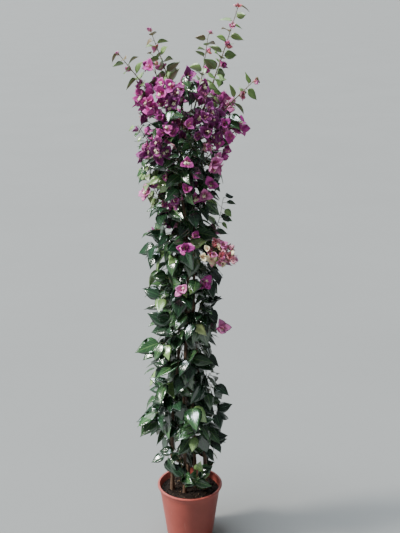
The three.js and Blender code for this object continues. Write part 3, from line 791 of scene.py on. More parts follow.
def stem_limb(spec):
    """A stem: from its foot on the soil, drawn in to a ring round the axis, with a slow sway."""
    bearing = math.radians(spec.ring or 0)
    ring = 0 if spec.ring is None else STEM_RING
    knots = []
    for i in range(STEM_KNOTS + 1):
        share = i / STEM_KNOTS
        z = mix(STEM_FOOT_HEIGHT + STEM_GAP, spec.tip, share)
        drawn_in = smoothstep(z, STEM_FOOT_HEIGHT, STEM_FOOT_HEIGHT + STEM_SPREAD_HEIGHT)
        sway = STEM_SWAY * min(1, share * SWAY_RISE)
        turn = FULL_TURN * (spec.phase + SWAY_TURNS * share)
        place = axis_at(z)
        place.x += mix(spec.foot[0], ring * math.cos(bearing), drawn_in) + sway * math.cos(turn)
        place.y += mix(spec.foot[1], ring * math.sin(bearing), drawn_in) + sway * math.sin(turn)
        knots.append(place)
    knots[0] = Vector((*spec.foot, STEM_FOOT_HEIGHT + STEM_GAP))
    knots[1].x = mix(spec.foot[0], knots[1].x, 0.5)
    knots[1].y = mix(spec.foot[1], knots[1].y, 0.5)
    path = Path(knots)

    def radius_at(share):
        flare = 1 + ROOT_FLARE * math.exp(-share * path.length / ROOT_FLARE_HEIGHT)
        return mix(spec.radius, STEM_TIP_RADIUS, share**STEM_TAPER) * flare

    return Limb(spec.name, path, radius_at)


def foot_on(parent, z, target):
    """Where a side limb begins on its parent: the axis there, the way out, and the surface."""
    share = parent.path.share_at_height(z)
    centre = parent.path.at(share)
    tangent = parent.path.way(share)
    away = target - centre
    away = (away - tangent * away.dot(tangent)).normalized()
    return centre, away, centre + away * (parent.radius_at(share) + STEM_GAP)


def nearest_foot(growth, z, end):
    feet = [foot_on(stem, z, end) for stem in growth.stems if stem.path.at(1).z > z]
    return min(feet, key=lambda foot: (foot[0] - end).length)


def side_path(centre, away, knee, *further):
    """The path of a side limb, out and up over its knee and on through further points."""
    out, rise = knee
    return Path([centre, centre + away * out + UP * rise, *further])


def shoot_path(spec, stems):
    parent = next(stem for stem in stems if stem.name == spec.stem)
    bend = Vector(spec.bend)
    centre, away, _ = foot_on(parent, spec.leaves, bend)
    return side_path(centre, away, SHOOT_KNEE, bend, spec.tip)


def group_seeds():
    """A seed for every mass, in the source's order."""
    seeds = []
    for i in range(LOW_SPRIG_COUNT):
        bearing = LOW_SPRIG_BEARING + i * math.pi
        out = Vector((math.cos(bearing), math.sin(bearing), 0))
        place = axis_at(LOW_SPRIG_HEIGHT) + out * LOW_SPRIG_RADIUS
        seeds.append(
            Seed(f"low_sprig_{i + 1}", "leaf", place, LOW_SPRIG_RADIUS**2, SINGLE_OUTWARD, False)
        )
    bearing = FIRST_BEARING
    for group in (COLUMN, HEAD):
        for i in range(group.count):
            z = mix(group.low, group.high, i / (group.count - 1))
            place = axis_at(z) + Vector((math.cos(bearing), math.sin(bearing), 0)) * group.radius
            name = f"{group.word}_{i + 1}"
            seeds.append(Seed(name, group.kind, place, group.radius**2, group.outward, False))
            bearing += GOLDEN
    seeds.append(Seed("crown_mass", "bract", axis_at(CROWN_HEIGHT), 0, SINGLE_OUTWARD, True))
    return seeds


def space_around(seed, places):
    """A test for the space nearest to a seed, by planes towards every other seed."""
    planes = []
    for place, weight in places:
        towards = place - seed.place
        if towards.length < TINY:
            continue
        rise = place.length_squared - weight - seed.place.length_squared + seed.weight
        planes.append((*(towards.normalized()), rise / (2 * towards.length)))
    planes = np.array(planes)

    def inside(points, slack):
        points = np.atleast_2d(np.array([tuple(point) for point in points]))
        return bool((points @ planes[:, :3].T <= planes[:, 3] + slack).all())

    return inside


def clear_of_pot(point):
    """Above the soil inside the pot's rim, and above the rim outside it."""
    inside = math.hypot(point.x, point.y) < POT_WALL_TOP_RADIUS - RIM_MARGIN
    return point.z > (SOIL_TOP + POT_GAP if inside else POT_HEIGHT + POT_GAP)


def within_reach(point):
    out = outward_at(point)
    return (point - axis_at(point.z)).xy.length < reach_at(point.z, out) + REACH_SLACK * abs(out.x)


def reach_fits(points):
    return all(clear_of_pot(point) and within_reach(point) for point in points)


class Growth:
    """All that grows on the stems, and the places that it takes up."""

    def __init__(self, stems, boughs):
        self.stems = stems
        self.boughs = boughs
        self.twigs = []
        self.fine_twigs = []
        self.stalks = []
        self.leaves = []
        self.flowers = []
        self.taken = np.zeros((MOST_MARKS, 3))
        self.count = 0
        hard = []
        for limb in [*stems, *boughs]:
            steps = int(limb.path.length / LIMB_STEP)
            for i in range(steps + 1):
                share = i / steps
                hard.append((*limb.path.at(share), limb.radius_at(share)))
        self.hard = np.array(hard)

    def misses_limbs(self, points, gap):
        points = np.array([tuple(point) for point in points])
        apart = np.linalg.norm(points[:, None, :] - self.hard[None, :, :3], axis=2)
        return bool((apart > self.hard[None, :, 3] + gap).all())

    def has_room(self, points, spacing):
        if self.count == 0:
            return True
        points = np.array([tuple(point) for point in points])
        apart = np.linalg.norm(points[:, None, :] - self.taken[None, : self.count, :], axis=2)
        return bool((apart > spacing).all())

    def take(self, points):
        for point in points:
            self.taken[self.count] = tuple(point)
            self.count += 1


def leaf_marks(leaf, width):
    """Points of a leaf for the tests of room: along its midrib and at its widest."""
    side = leaf.facing.cross(leaf.direction).normalized()
    half_width = leaf.length * width / 2
    marks = [leaf.base + leaf.direction * (leaf.length * share) for share in LEAF_MARKS]
    marks.append(marks[1] + side * half_width * LEAF_MARK_WIDTH)
    marks.append(marks[1] - side * half_width * LEAF_MARK_WIDTH)
    return marks


def flower_marks(flower, bract_length):
    """Points of a flower for the tests of room: its base, its middle and its rim."""
    reach = bract_length * flower.size
    middle = flower.base + flower.facing * reach * FLOWER_MIDDLE
    return flower.base, middle, flower.base + flower.facing * reach * FLOWER_RIM


def leaf_at(settings, root, twig_way, key, slot, attempt, tint, smaller):
    """The source's leaf, with its stalk, its own fold and its own droop."""
    out = outward_at(root)
    side = UP.cross(out)
    hand = 1 if (slot + attempt) % 2 == 0 else -1
    spread = hand * between(LEAF_SPREAD, key, slot, 2 + attempt)
    droop = between(LOW_DROOP if root.z < LOW_LEAVES else DROOP, key, slot, 12 + attempt)
    stand = between(LEAF_STAND, key, slot, 22 + attempt)
    direction = (out * stand + side * spread - UP * droop + twig_way * LEAF_ALONG_TWIG).normalized()
    facing = out * LEAF_FACES_OUT + UP * between(LEAF_FACES_UP, key, slot, 9)
    facing = (facing + side * between(LEAF_FACES_SIDE, key, slot, 7)).normalized()
    if abs(facing.dot(direction)) > EDGE_ON:
        facing = UP
    length = between((settings.shortest, settings.longest), key, slot, 3)
    length = length * (1 - attempt * LEAF_SHRINK) * smaller
    if root.z < LOW_LEAVES:
        length *= LOW_LEAF_SHARE
    length *= mix(1, HEAD_LEAF_SHARE, smoothstep(root.z, *HEAD_LEAVES)) * LEAF_TINT_SIZES.get(tint, 1)
    stalk_way = (direction + out * LEAF_STALK_OUT + UP * LEAF_STALK_UP).normalized()
    return Leaf(
        root=root,
        base=root + stalk_way * settings.stalk * between(LEAF_STALK_LENGTHS, key, slot, 8),
        direction=direction,
        facing=facing,
        length=length,
        tint=tint,
        fold=between(LEAF_FOLD, key, slot, 14),
        curl=between(LEAF_CURL, key, slot, 15),
        wave=between(LEAF_WAVE, key, slot, 16),
        phase=between(ANY_TURN, key, slot, 17),
    )


def flower_at(root, twig_way, key, slot, attempt, tint, size):
    out = outward_at(root)
    side = UP.cross(out)
    facing = out * FLOWER_FACES_OUT + UP * between(FLOWER_FACES_UP, key, slot, 11 + attempt)
    sideways = side * between(FLOWER_FACES_SIDE, key, slot, 21 + attempt)
    facing += sideways + twig_way * FLOWER_ALONG_TWIG
    facing.normalize()
    base = root + facing * between(FLOWER_STALK, key, slot, 19)
    turn = FULL_TURN * pick(key, slot, 31)
    return Flower(root, base, facing, size * (1 - attempt * FLOWER_SHRINK), turn, tint, (key, slot))


def tint_of(tints, key, spray):
    value = pick(key, spray, 61)
    return next(name for name, limit in tints if value < limit)


def leaf_tint_at(root, key, spray):
    for tinted in TINTED_PLACES:
        if (root - Vector(tinted.place)).length < tinted.radius:
            return tinted.tint
    return tint_of(LEAF_TINTS, key, spray)


def leaf_spacing(root):
    """Leaves stand further apart at the outside of the column than at its middle and in the head."""
    off_axis = (root - axis_at(root.z)).xy.length
    share = smoothstep(off_axis, *OUTER_LEAVES) * (1 - smoothstep(root.z, *CLOSE_LEAVES))
    return mix(*LEAF_SPACING, share)


def bloom_at(root):
    """Share of the places near a point that carry bracts, by height and by cluster."""
    for place, radius in LEAFY_PLACES:
        if (root - Vector(place)).length < radius:
            return 0
    return along(BLOOM, root.z) * (1 + BLOOM_CLUSTERS * noise.noise(root * BLOOM_CLUSTER_SCALE))


def add_slot(growth, settings, fits, root, way, key, slot, spray, smaller=1.0):
    """A leaf, or higher up on the plant more often a flower, at one place on a twig."""
    leaves, bracts = settings
    if pick(key, slot, 6) < bloom_at(root):
        tint = tint_of(BRACT_TINTS, key, spray)
        size = between(FLOWER_SIZE, key, slot, 41)
        for attempt in range(TRIES):
            flower = flower_at(root, way, key, slot, attempt, tint, size)
            base, middle, rim = flower_marks(flower, bracts.length)
            if not fits([base, middle, rim]) or not growth.misses_limbs([base, middle], FLOWER_GAP):
                continue
            if growth.has_room([base, middle], FLOWER_SPACING):
                growth.flowers.append(flower)
                growth.take([base, middle, rim])
                return True
    elif pick(key, slot, 91) < along(LEAF_SHARE, root.z):
        tint = leaf_tint_at(root, key, spray)
        for attempt in range(TRIES):
            leaf = leaf_at(leaves, root, way, key, slot, attempt, tint, smaller)
            marks = leaf_marks(leaf, leaves.width)
            if not fits(marks) or not growth.misses_limbs(marks, LEAF_GAP):
                continue
            if growth.has_room(marks, leaf_spacing(root)):
                growth.leaves.append(leaf)
                growth.take(marks)
                return True
    return False


def feet_for(seed, stems, inside):
    """Where a mass may spring from a stem inside its space, the nearest and a little below first."""
    feet = []
    for stem in stems:
        tip = stem.path.at(1).z
        for step in FOOT_STEPS:
            drop = step * FOOT_STEP
            z = seed.place.z - drop
            if z < LOWEST_FOOT or z > tip - FOOT_BELOW_TIP:
                continue
            centre, away, surface = foot_on(stem, z, seed.place)
            cost = (surface - seed.place).length + abs(drop - FOOT_DROP) * FOOT_DROP_COST
            if inside([centre, surface], -STEM_GAP):
                feet.append((cost, centre, away))
    return sorted(feet, key=lambda foot: foot[0])


def mass_stem(seed, stems, inside):
    if seed.on_tip:
        tallest = max(stems, key=lambda stem: stem.path.at(1).z)
        tip = tallest.path.at(1)
        return Path([tip, (tip + seed.place) / 2, seed.place])
    _, centre, away = feet_for(seed, stems, inside)[0]
    return side_path(centre, away, MASS_KNEE, seed.place)


def twig_way(seed, out, turn):
    """Twigs turn by the golden angle round the mass's stem, which points out, or up at the crown."""
    side = UP.cross(out)
    across, ahead = (out, UP) if seed.on_tip else (UP, out)
    return (side * math.cos(turn) + across * math.sin(turn) + ahead * seed.outward).normalized()


def twig_end(start, way, length, fits):
    """The end of a twig, drawn back until it stays inside the mass's space, or None."""
    for attempt in range(TRIES):
        end = start + way * length * (1 - attempt * TWIG_DRAW_BACK)
        if fits([end]):
            return end
    return None


def side_way(way, turn, out):
    """A way off a limb, turned round it by an angle, and leaning along it and outward."""
    return (turned_off(way, turn) + way * SIDE_ALONG + out * SIDE_OUTWARD).normalized()


def add_fine_twig(growth, settings, fits, start, way, key, number, spray):
    """A fine side twig, with a few leaves or flowers."""
    length = between(FINE_TWIG_LENGTH, key, number, 45)
    end = twig_end(start, way, length, fits)
    if end is None:
        return False
    lift = UP * length * between(FINE_TWIG_BOW, key, number, 46)
    path = Path([start, (start + end) / 2 + lift, end])
    last = 0
    for i, share in enumerate(FINE_TWIG_SLOTS):
        smaller = FINE_TWIG_END_LEAF if share == 1 else 1.0
        slot = FINE_TWIG_PLACES + number * FINE_TWIG_KEYS + i
        if add_slot(growth, settings, fits, path.at(share), way, key, slot, spray, smaller):
            last = share
    if last:
        growth.fine_twigs.append(Limb("fine_twig", path.part(0, last, 3), tapered(FINE_TWIG_RADII)))
    return bool(last)


def grow_twig(growth, settings, fits, seed, path, key, j):
    """One twig of a mass, as long as what it carries: leaves or flowers, and fine twigs."""
    out = outward_at(seed.place)
    start = path.at(mix(*TWIG_FEET, j / (TWIGS[seed.kind] - 1)))
    way = twig_way(seed, out, j * GOLDEN + key)
    length = between(TWIG_LENGTH, key, j, 5)
    end = twig_end(start, way, length, fits)
    if end is None:
        return
    bend = (start + end) / 2 + UP * length * between(TWIG_BOW, key, j, 47)
    twig = Path([start, bend, end])
    last = 0
    for i, share in enumerate(TWIG_SLOTS):
        smaller = TWIG_END_LEAF if share == 1 else 1.0
        slot = j * TWIG_KEYS + i
        spray = j * TWIG_KEYS + i // 2
        if add_slot(growth, settings, fits, twig.at(share), way, key, slot, spray, smaller):
            last = max(last, share)
    for i, share in enumerate(FINE_TWIG_FEET):
        turned = side_way(twig.way(share), (i + 0.5) * GOLDEN + key, out)
        number = j * FINE_TWIG_KEYS + i
        spray = FINE_TWIG_SPRAYS + number
        if add_fine_twig(growth, settings, fits, twig.at(share), turned, key, number, spray):
            last = max(last, share)
    if last:
        growth.twigs.append(Limb("twig", twig.part(0, last, 4), tapered(TWIG_RADII)))


def grow_mass(growth, settings, seed, key, places):
    """One mass: its stem, its twigs, their fine twigs, and all that these carry."""
    inside = space_around(seed, places)

    def fits(points):
        return inside(points, SPACE_SLACK) and reach_fits(points)

    path = mass_stem(seed, growth.stems, inside)
    growth.twigs.append(Limb(seed.name, path, tapered(MASS_STEM_RADII)))
    out = outward_at(seed.place)
    for j in range(TWIGS[seed.kind]):
        grow_twig(growth, settings, fits, seed, path, key, j)
    for i, share in enumerate(MASS_STEM_SLOTS):
        place = path.at(share)
        add_slot(growth, settings, fits, place, UP, key, MASS_STEM_PLACES + i, MASS_STEM_SPRAYS + i)
        turned = side_way(path.way(share), i * GOLDEN + key * 2, out)
        number = MASS_STEM_FINE_TWIGS + i
        add_fine_twig(growth, settings, fits, place, turned, key, number, MASS_STEM_FINE_SPRAYS + i)


def grow_spurs(growth, settings, stem, key):
    """Leaves on short spurs straight from a stem, which fill the middle of the column."""
    low, high = SPUR_RANGE
    count = int((high - low) / SPUR_STEP)
    for i in range(count):
        z = mix(low, high, i / count)
        if z > stem.path.at(1).z - 0.01:
            continue
        share = stem.path.share_at_height(z)
        turn = i * GOLDEN + key
        way = Vector((math.cos(turn), math.sin(turn), SPUR_RISE)).normalized()
        root = stem.path.at(share) + way * stem.radius_at(share)
        end = root + way * between(SPUR_LENGTH, key, i, 5)
        if not reach_fits([end]) or not growth.misses_limbs([end], SPUR_GAP):
            continue
        path = Path([root - way * SPUR_BOW, (root + end) / 2 + UP * SPUR_BOW, end])
        spray = SPUR_PLACES + i // 2
        at_end = add_slot(growth, settings, reach_fits, end, way, key, SPUR_PLACES + i, spray)
        halfway = path.at(SPUR_HALFWAY)
        slot = SPUR_HALFWAY_PLACES + i
        at_halfway = add_slot(growth, settings, reach_fits, halfway, way, key, slot, spray)
        if at_end or at_halfway:
            last = 1 if at_end else SPUR_HALFWAY
            growth.fine_twigs.append(Limb("spur", path.part(0, last, 3), tapered(FINE_TWIG_RADII)))


def grow_lone_flower(growth, lone, key):
    """A flowering twig that stands out of the leaves, from the nearest stem."""
    end = Vector(lone.end)
    centre, away, _ = nearest_foot(growth, end.z - LONE_FOOT_DROP, end)
    path = side_path(centre, away, LONE_KNEE, end)
    growth.fine_twigs.append(Limb("lone_twig", path, tapered(LONE_TWIG_RADII)))
    for i, (faces, size) in enumerate(zip(LONE_FACINGS, LONE_SIZES)):
        facing = (faces + path.way(1) * LONE_ALONG_TWIG).normalized()
        base = end + facing * LONE_STALK
        growth.flowers.append(Flower(end, base, facing, size, key + i, lone.tint, (key, i)))
        growth.take([base + facing * step for step in LONE_MARKS])


def grow_spray(growth, settings, spray, key):
    """A twig with a head of flowers, each on its own fine twig, turned all ways but inward."""
    bracts = settings[1]
    end = Vector(spray.end)
    centre, away, _ = nearest_foot(growth, min(end.z - SPRAY_FOOT_DROP, SPRAY_HIGHEST_FOOT), end)
    path = side_path(centre, away, SPRAY_KNEE, end)
    growth.twigs.append(Limb("spray_twig", path, tapered(TWIG_RADII)))
    fork = path.at(SPRAY_FORK)
    lean = outward_at(end) * SPRAY_OUTWARD
    places = spray.count * 2
    for i in range(places):
        rise = 1 - 2 * (i + 0.5) / places
        turn = i * GOLDEN + key
        flat = math.sqrt(1 - rise * rise)
        way = Vector((flat * math.cos(turn), flat * math.sin(turn), rise)) + lean + UP * SPRAY_UPWARD
        way.normalize()
        stretch = spray.spread * between(SPRAY_STRETCH, key, i, 4)
        root = end + Vector((way.x, way.y, way.z * SPRAY_FLATNESS)) * stretch
        size = spray.size * between(SPRAY_SIZES, key, i, 41)
        tint = tint_of(spray.tints, key, i if spray.size < MIXED_TINTS_SIZE else 0)
        flower = flower_at(root, way, key, i, 0, tint, size)
        base, middle, rim = flower_marks(flower, bracts.length)
        if not clear_of_pot(middle) or not growth.misses_limbs([root, middle], SPRAY_GAP):
            continue
        if growth.has_room([base, middle], FLOWER_SPACING * min(1, spray.size)):
            growth.flowers.append(flower)
            growth.take([base, middle, rim])
            twig = Path([fork, (fork + root) / 2, root])
            growth.fine_twigs.append(Limb("fine_twig", twig, tapered(FINE_TWIG_RADII)))


def grow_side_shoot(growth, settings, spec, key):
    """A thin shoot from a stem, with small leaves in turn along its outer part."""
    leaves = settings[0]
    tip = Vector(spec.tip)
    centre, away, _ = nearest_foot(growth, spec.foot, tip)
    rise = tip.z - centre.z
    knee = centre + away * rise * SIDE_SHOOT_KNEE + UP * rise * SIDE_SHOOT_KNEE
    bow = outward_at(tip) * rise * SIDE_SHOOT_BOW
    path = Path([centre, knee, (centre + tip) / 2 + bow, tip])
    growth.stalks.append(Limb("side_shoot", path, tapered(SIDE_SHOOT_RADII)))
    for j in range(spec.leaves):
        share = mix(spec.bare, 1.0, j / (spec.leaves - 1))
        root = path.at(share)
        turned = side_way(path.way(share), j * GOLDEN * SIDE_SHOOT_TURN + key, outward_at(root))
        tint = spec.tints[j % len(spec.tints)]
        for attempt in range(TRIES):
            leaf = leaf_at(leaves, root, turned, key, j, attempt, tint, spec.size)
            if tip.y < 0:
                leaf = leaf._replace(facing=(leaf.facing + SIDE_SHOOT_FACING).normalized())
            marks = leaf_marks(leaf, leaves.width)
            clear = all(clear_of_pot(mark) for mark in marks)
            clear = clear and growth.misses_limbs(marks, SIDE_LEAF_GAP)
            if clear and growth.has_room(marks, SIDE_LEAF_SPACING):
                growth.leaves.append(leaf)
                growth.take(marks)
                break


def grow_shoot(growth, path, key):
    """A shoot's leafy end: leaves along one stalk, smaller to the tip, with young bracts."""
    nodes = round(path.length / SHOOT_LEAF_STEP)
    for j in range(nodes + 1):
        share = mix(SHOOT_FIRST_LEAF, 1.0, j / nodes)
        root = path.at(share)
        way = path.way(share)
        turned = way.cross(UP).normalized()
        turned.rotate(Matrix.Rotation(j * GOLDEN, 3, way))
        out = outward_at(root)
        droop = between(SHOOT_LEAF_DROOP, key, j, 12)
        direction = (turned + way * SHOOT_LEAF_ALONG - UP * droop).normalized()
        if j % 5 == 3:
            add_young_bracts(growth, root, way, out, direction, share, key, j)
            continue
        facing = out * SHOOT_LEAF_FACES_OUT + UP * between(SHOOT_LEAF_FACES_UP, key, j, 10)
        facing += UP.cross(out) * between(SHOOT_LEAF_FACES_SIDE, key, j, 13)
        length = mix(*SHOOT_LEAF_LENGTHS, share**1.2) * between(SHOOT_LEAF_SIZES, key, j, 9)
        growth.leaves.append(
            Leaf(
                root=root,
                base=root + direction * SHOOT_LEAF_STALK,
                direction=direction,
                facing=facing.normalized(),
                length=length,
                tint="bronze" if share > 0.85 or (j % 7 == 5 and share > 0.6) else "young",
                fold=between(SHOOT_LEAF_FOLD, key, j, 14),
                curl=between(SHOOT_LEAF_CURL, key, j, 15),
                wave=SHOOT_LEAF_WAVE,
                phase=j,
            )
        )


def add_young_bracts(growth, root, way, out, direction, share, key, j):
    """Small flowers at one place on a shoot, magenta near its foot and pale further out."""
    size = mix(*SHOOT_BRACT_SIZES, share)
    for i in range(2 if share > 0.4 else 3):
        facing = (direction + way * 0.5 + side_way(way, i * 2.1 + j, out) * 0.7).normalized()
        tint = SHOOT_BRACT_TINTS[(j + i) % 3] if share > 0.3 else "magenta"
        base = root + facing * SHOOT_BRACT_STALK
        growth.flowers.append(Flower(root, base, facing, size, j + i, tint, (key, j * 3 + i)))


@functools.lru_cache(maxsize=1)
def plan():
    """Grows the whole plant once, for the operators to build from."""
    scene = bpy.context.scene
    settings = (scene.bougainvillea_leaves, scene.bougainvillea_bracts)
    stems = [stem_limb(spec) for spec in STEMS]
    boughs = []
    shoot_ends = []
    shoot_places = []
    for spec in SHOOTS:
        whole = shoot_path(spec, stems)
        boughs.append(Limb(f"bough_{spec.name}", whole.part(0, spec.bare, 6), tapered(BOUGH_RADII)))
        shoot_ends.append(Limb(f"shoot_{spec.name}", whole.part(spec.bare, 1, 5), tapered(SHOOT_RADII)))
        shoot_places.append((whole.at(mix(spec.bare, 1, SHOOT_MIDDLE)), SHOOT_WEIGHT))
    seeds = group_seeds()
    places = [(seed.place, seed.weight) for seed in seeds] + shoot_places
    growth = Growth(stems, boughs)
    for key, lone in enumerate(LONE_FLOWERS, LONE_KEY):
        grow_lone_flower(growth, lone, key)
    for key, spray in enumerate(SPRAYS, SPRAY_KEY):
        grow_spray(growth, settings, spray, key)
    for key, spec in enumerate(SIDE_SHOOTS, SIDE_SHOOT_KEY):
        grow_side_shoot(growth, settings, spec, key)
    for key, seed in enumerate(seeds, MASS_KEY):
        grow_mass(growth, settings, seed, key, places)
    for key, stem in enumerate(stems, SPUR_KEY):
        grow_spurs(growth, settings, stem, key)
    for key, limb in enumerate(shoot_ends, SHOOT_KEY):
        growth.stalks.append(limb)
        grow_shoot(growth, limb.path, key)
    return growth


# Meshes


def start_clean():
    """Leaves edit mode and deselects everything."""
    if bpy.context.object and bpy.context.object.mode != "OBJECT":
        bpy.ops.object.mode_set(mode="OBJECT")
    bpy.ops.object.select_all(action="DESELECT")


def select_only(piece):
    start_clean()
    piece.select_set(True)
    bpy.context.view_layer.objects.active = piece


def smooth(piece, degrees):
    """Shades a piece smooth, but for the edges that turn by more than an angle."""
    select_only(piece)
    bpy.ops.object.shade_smooth_by_angle(angle=math.radians(degrees))


def finish_piece(piece, name, material, slot, *nodes):
    """Names a piece, settles its place into its mesh, and ties it to the frame."""
    piece.name = name
    piece.data.name = name
    select_only(piece)
    bpy.ops.object.transform_apply(location=True, rotation=True, scale=True)
    piece.data.materials.clear()
    piece.data.materials.append(material)
    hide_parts(*nodes)
    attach(piece, "root")
    return piece


def write_uvs(mesh, uvs):
    """Gives a mesh its UV map, from one UV for each vertex."""
    layer = mesh.uv_layers[0] if mesh.uv_layers else mesh.uv_layers.new(name="UVMap")
    layer.name = "UVMap"
    corners = np.zeros(len(mesh.loops), np.int32)
    mesh.loops.foreach_get("vertex_index", corners)
    layer.data.foreach_set("uv", uvs[corners].astype(np.float32).ravel())


class Joined:
    """Gathers copies of small shapes, and makes one piece of them."""

    def __init__(self):
        self.vertices = []
        self.faces = []
        self.uvs = []
        self.size = 0

    def add(self, vertices, faces, uvs=None):
        self.vertices.append(vertices)
        self.uvs.append(np.zeros((len(vertices), 2)) if uvs is None else uvs)
        size = self.size
        self.faces.extend([tuple(corner + size for corner in face) for face in faces])
        self.size += len(vertices)

    def add_tube(self, path, radius_at, sides, rings):
        points, uvs = tube_points(path, radius_at, sides, rings)
        self.add(points, tube_faces(rings, sides), uvs)

    def finish(self, name, material, slot, *nodes):
        mesh = bpy.data.meshes.new(name)
        mesh.from_pydata(np.vstack(self.vertices).tolist(), [], self.faces)
        write_uvs(mesh, np.vstack(self.uvs))
        mesh.update()
        piece = bpy.data.objects.new(name, mesh)
        bpy.context.scene.collection.objects.link(piece)
        for polygon in mesh.polygons:
            polygon.use_smooth = True
        return finish_piece(piece, name, material, slot, *nodes)


@functools.lru_cache(maxsize=8)
def blade_faces(rows):
    """Faces of a thin closed blade: a point, rows of five, a point, and an underside on the same rim."""
    tip = 1 + rows * 5
    under = tip + 1

    def top(row, column):
        return 1 + row * 5 + column

    def bottom(row, column):
        return top(row, column) if column in (0, 4) else under + row * 3 + column - 1

    faces = []
    for column in range(4):
        for side, flip in ((top, False), (bottom, True)):
            strip = [(0, side(0, column), side(0, column + 1))]
            for row in range(rows - 1):
                near = (side(row, column), side(row + 1, column))
                far = (side(row + 1, column + 1), side(row, column + 1))
                strip.append((*near, *far))
            strip.append((side(rows - 1, column), tip, side(rows - 1, column + 1)))
            faces.extend([face[::-1] if flip else face for face in strip])
    return faces


def blade_points(outline, length, half_width, thickness, fold, curl, wave, phase):
    """Points of a blade that lies along x with its upper side to z, and their UVs."""
    curl = curl if abs(curl) > LEAST_CURL else LEAST_CURL
    shares = np.array([row[0] for row in outline])
    widths = np.array([row[1] for row in outline]) * half_width
    share, column = np.meshgrid(shares, np.array(BLADE_COLUMNS), indexing="ij")
    y = widths[:, None] * column
    x = length * np.sin(curl * share) / curl
    z = -length * (1 - np.cos(curl * share)) / curl
    z = z + fold * np.abs(y) * (1 - FOLD_EASE * np.abs(column))
    z = z + wave * length * np.sin(share * WAVE_RATE + phase + column) * np.abs(column)
    upper = np.stack([x, y, z], axis=-1)
    lower = upper[:, 1:4].copy()
    lower[:, :, 2] -= thickness
    tip = (length * math.sin(curl) / curl, 0, -length * (1 - math.cos(curl)) / curl)
    points = np.vstack([[(0, 0, 0)], upper.reshape(-1, 3), [tip], lower.reshape(-1, 3)])
    uv = np.stack([share, column / 2 + 0.5], axis=-1)
    uvs = np.vstack([[(0, 0.5)], uv.reshape(-1, 2), [(1, 0.5)], uv[:, 1:4].reshape(-1, 2)])
    return points, uvs


def placed(points, origin, direction, facing):
    """Points turned so that x lies along direction and z towards facing."""
    x = direction.normalized()
    y = facing.cross(x).normalized()
    z = x.cross(y)
    turn = np.array([tuple(x), tuple(y), tuple(z)])
    return points @ turn + np.array(tuple(origin))


@functools.lru_cache(maxsize=16)
def tube_faces(rings, sides):
    faces = []
    for ring in range(rings - 1):
        for side in range(sides):
            after = (side + 1) % sides
            low = ring * sides
            high = low + sides
            faces.append((low + side, low + after, high + after, high + side))
    faces.append(tuple(range(sides))[::-1])
    faces.append(tuple(range((rings - 1) * sides, rings * sides)))
    return faces


def tube_points(path, radius_at, sides, rings):
    """Rings of a closed tube along a path, with UVs by share of the round and metres along."""
    points = []
    uvs = []
    normal = path.way(0).orthogonal().normalized()
    for ring in range(rings):
        share = ring / (rings - 1)
        way = path.way(share)
        normal = (normal - way * normal.dot(way)).normalized()
        across = way.cross(normal)
        centre = path.at(share)
        radius = radius_at(share)
        for side in range(sides):
            angle = FULL_TURN * side / sides
            points.append(tuple(centre + (normal * math.cos(angle) + across * math.sin(angle)) * radius))
            uvs.append((side / sides, share * path.length))
    return np.array(points), np.array(uvs)


# Finishes


def tone(colour, factor):
    return tuple(min(max(channel * factor, 0), 1) for channel in colour)


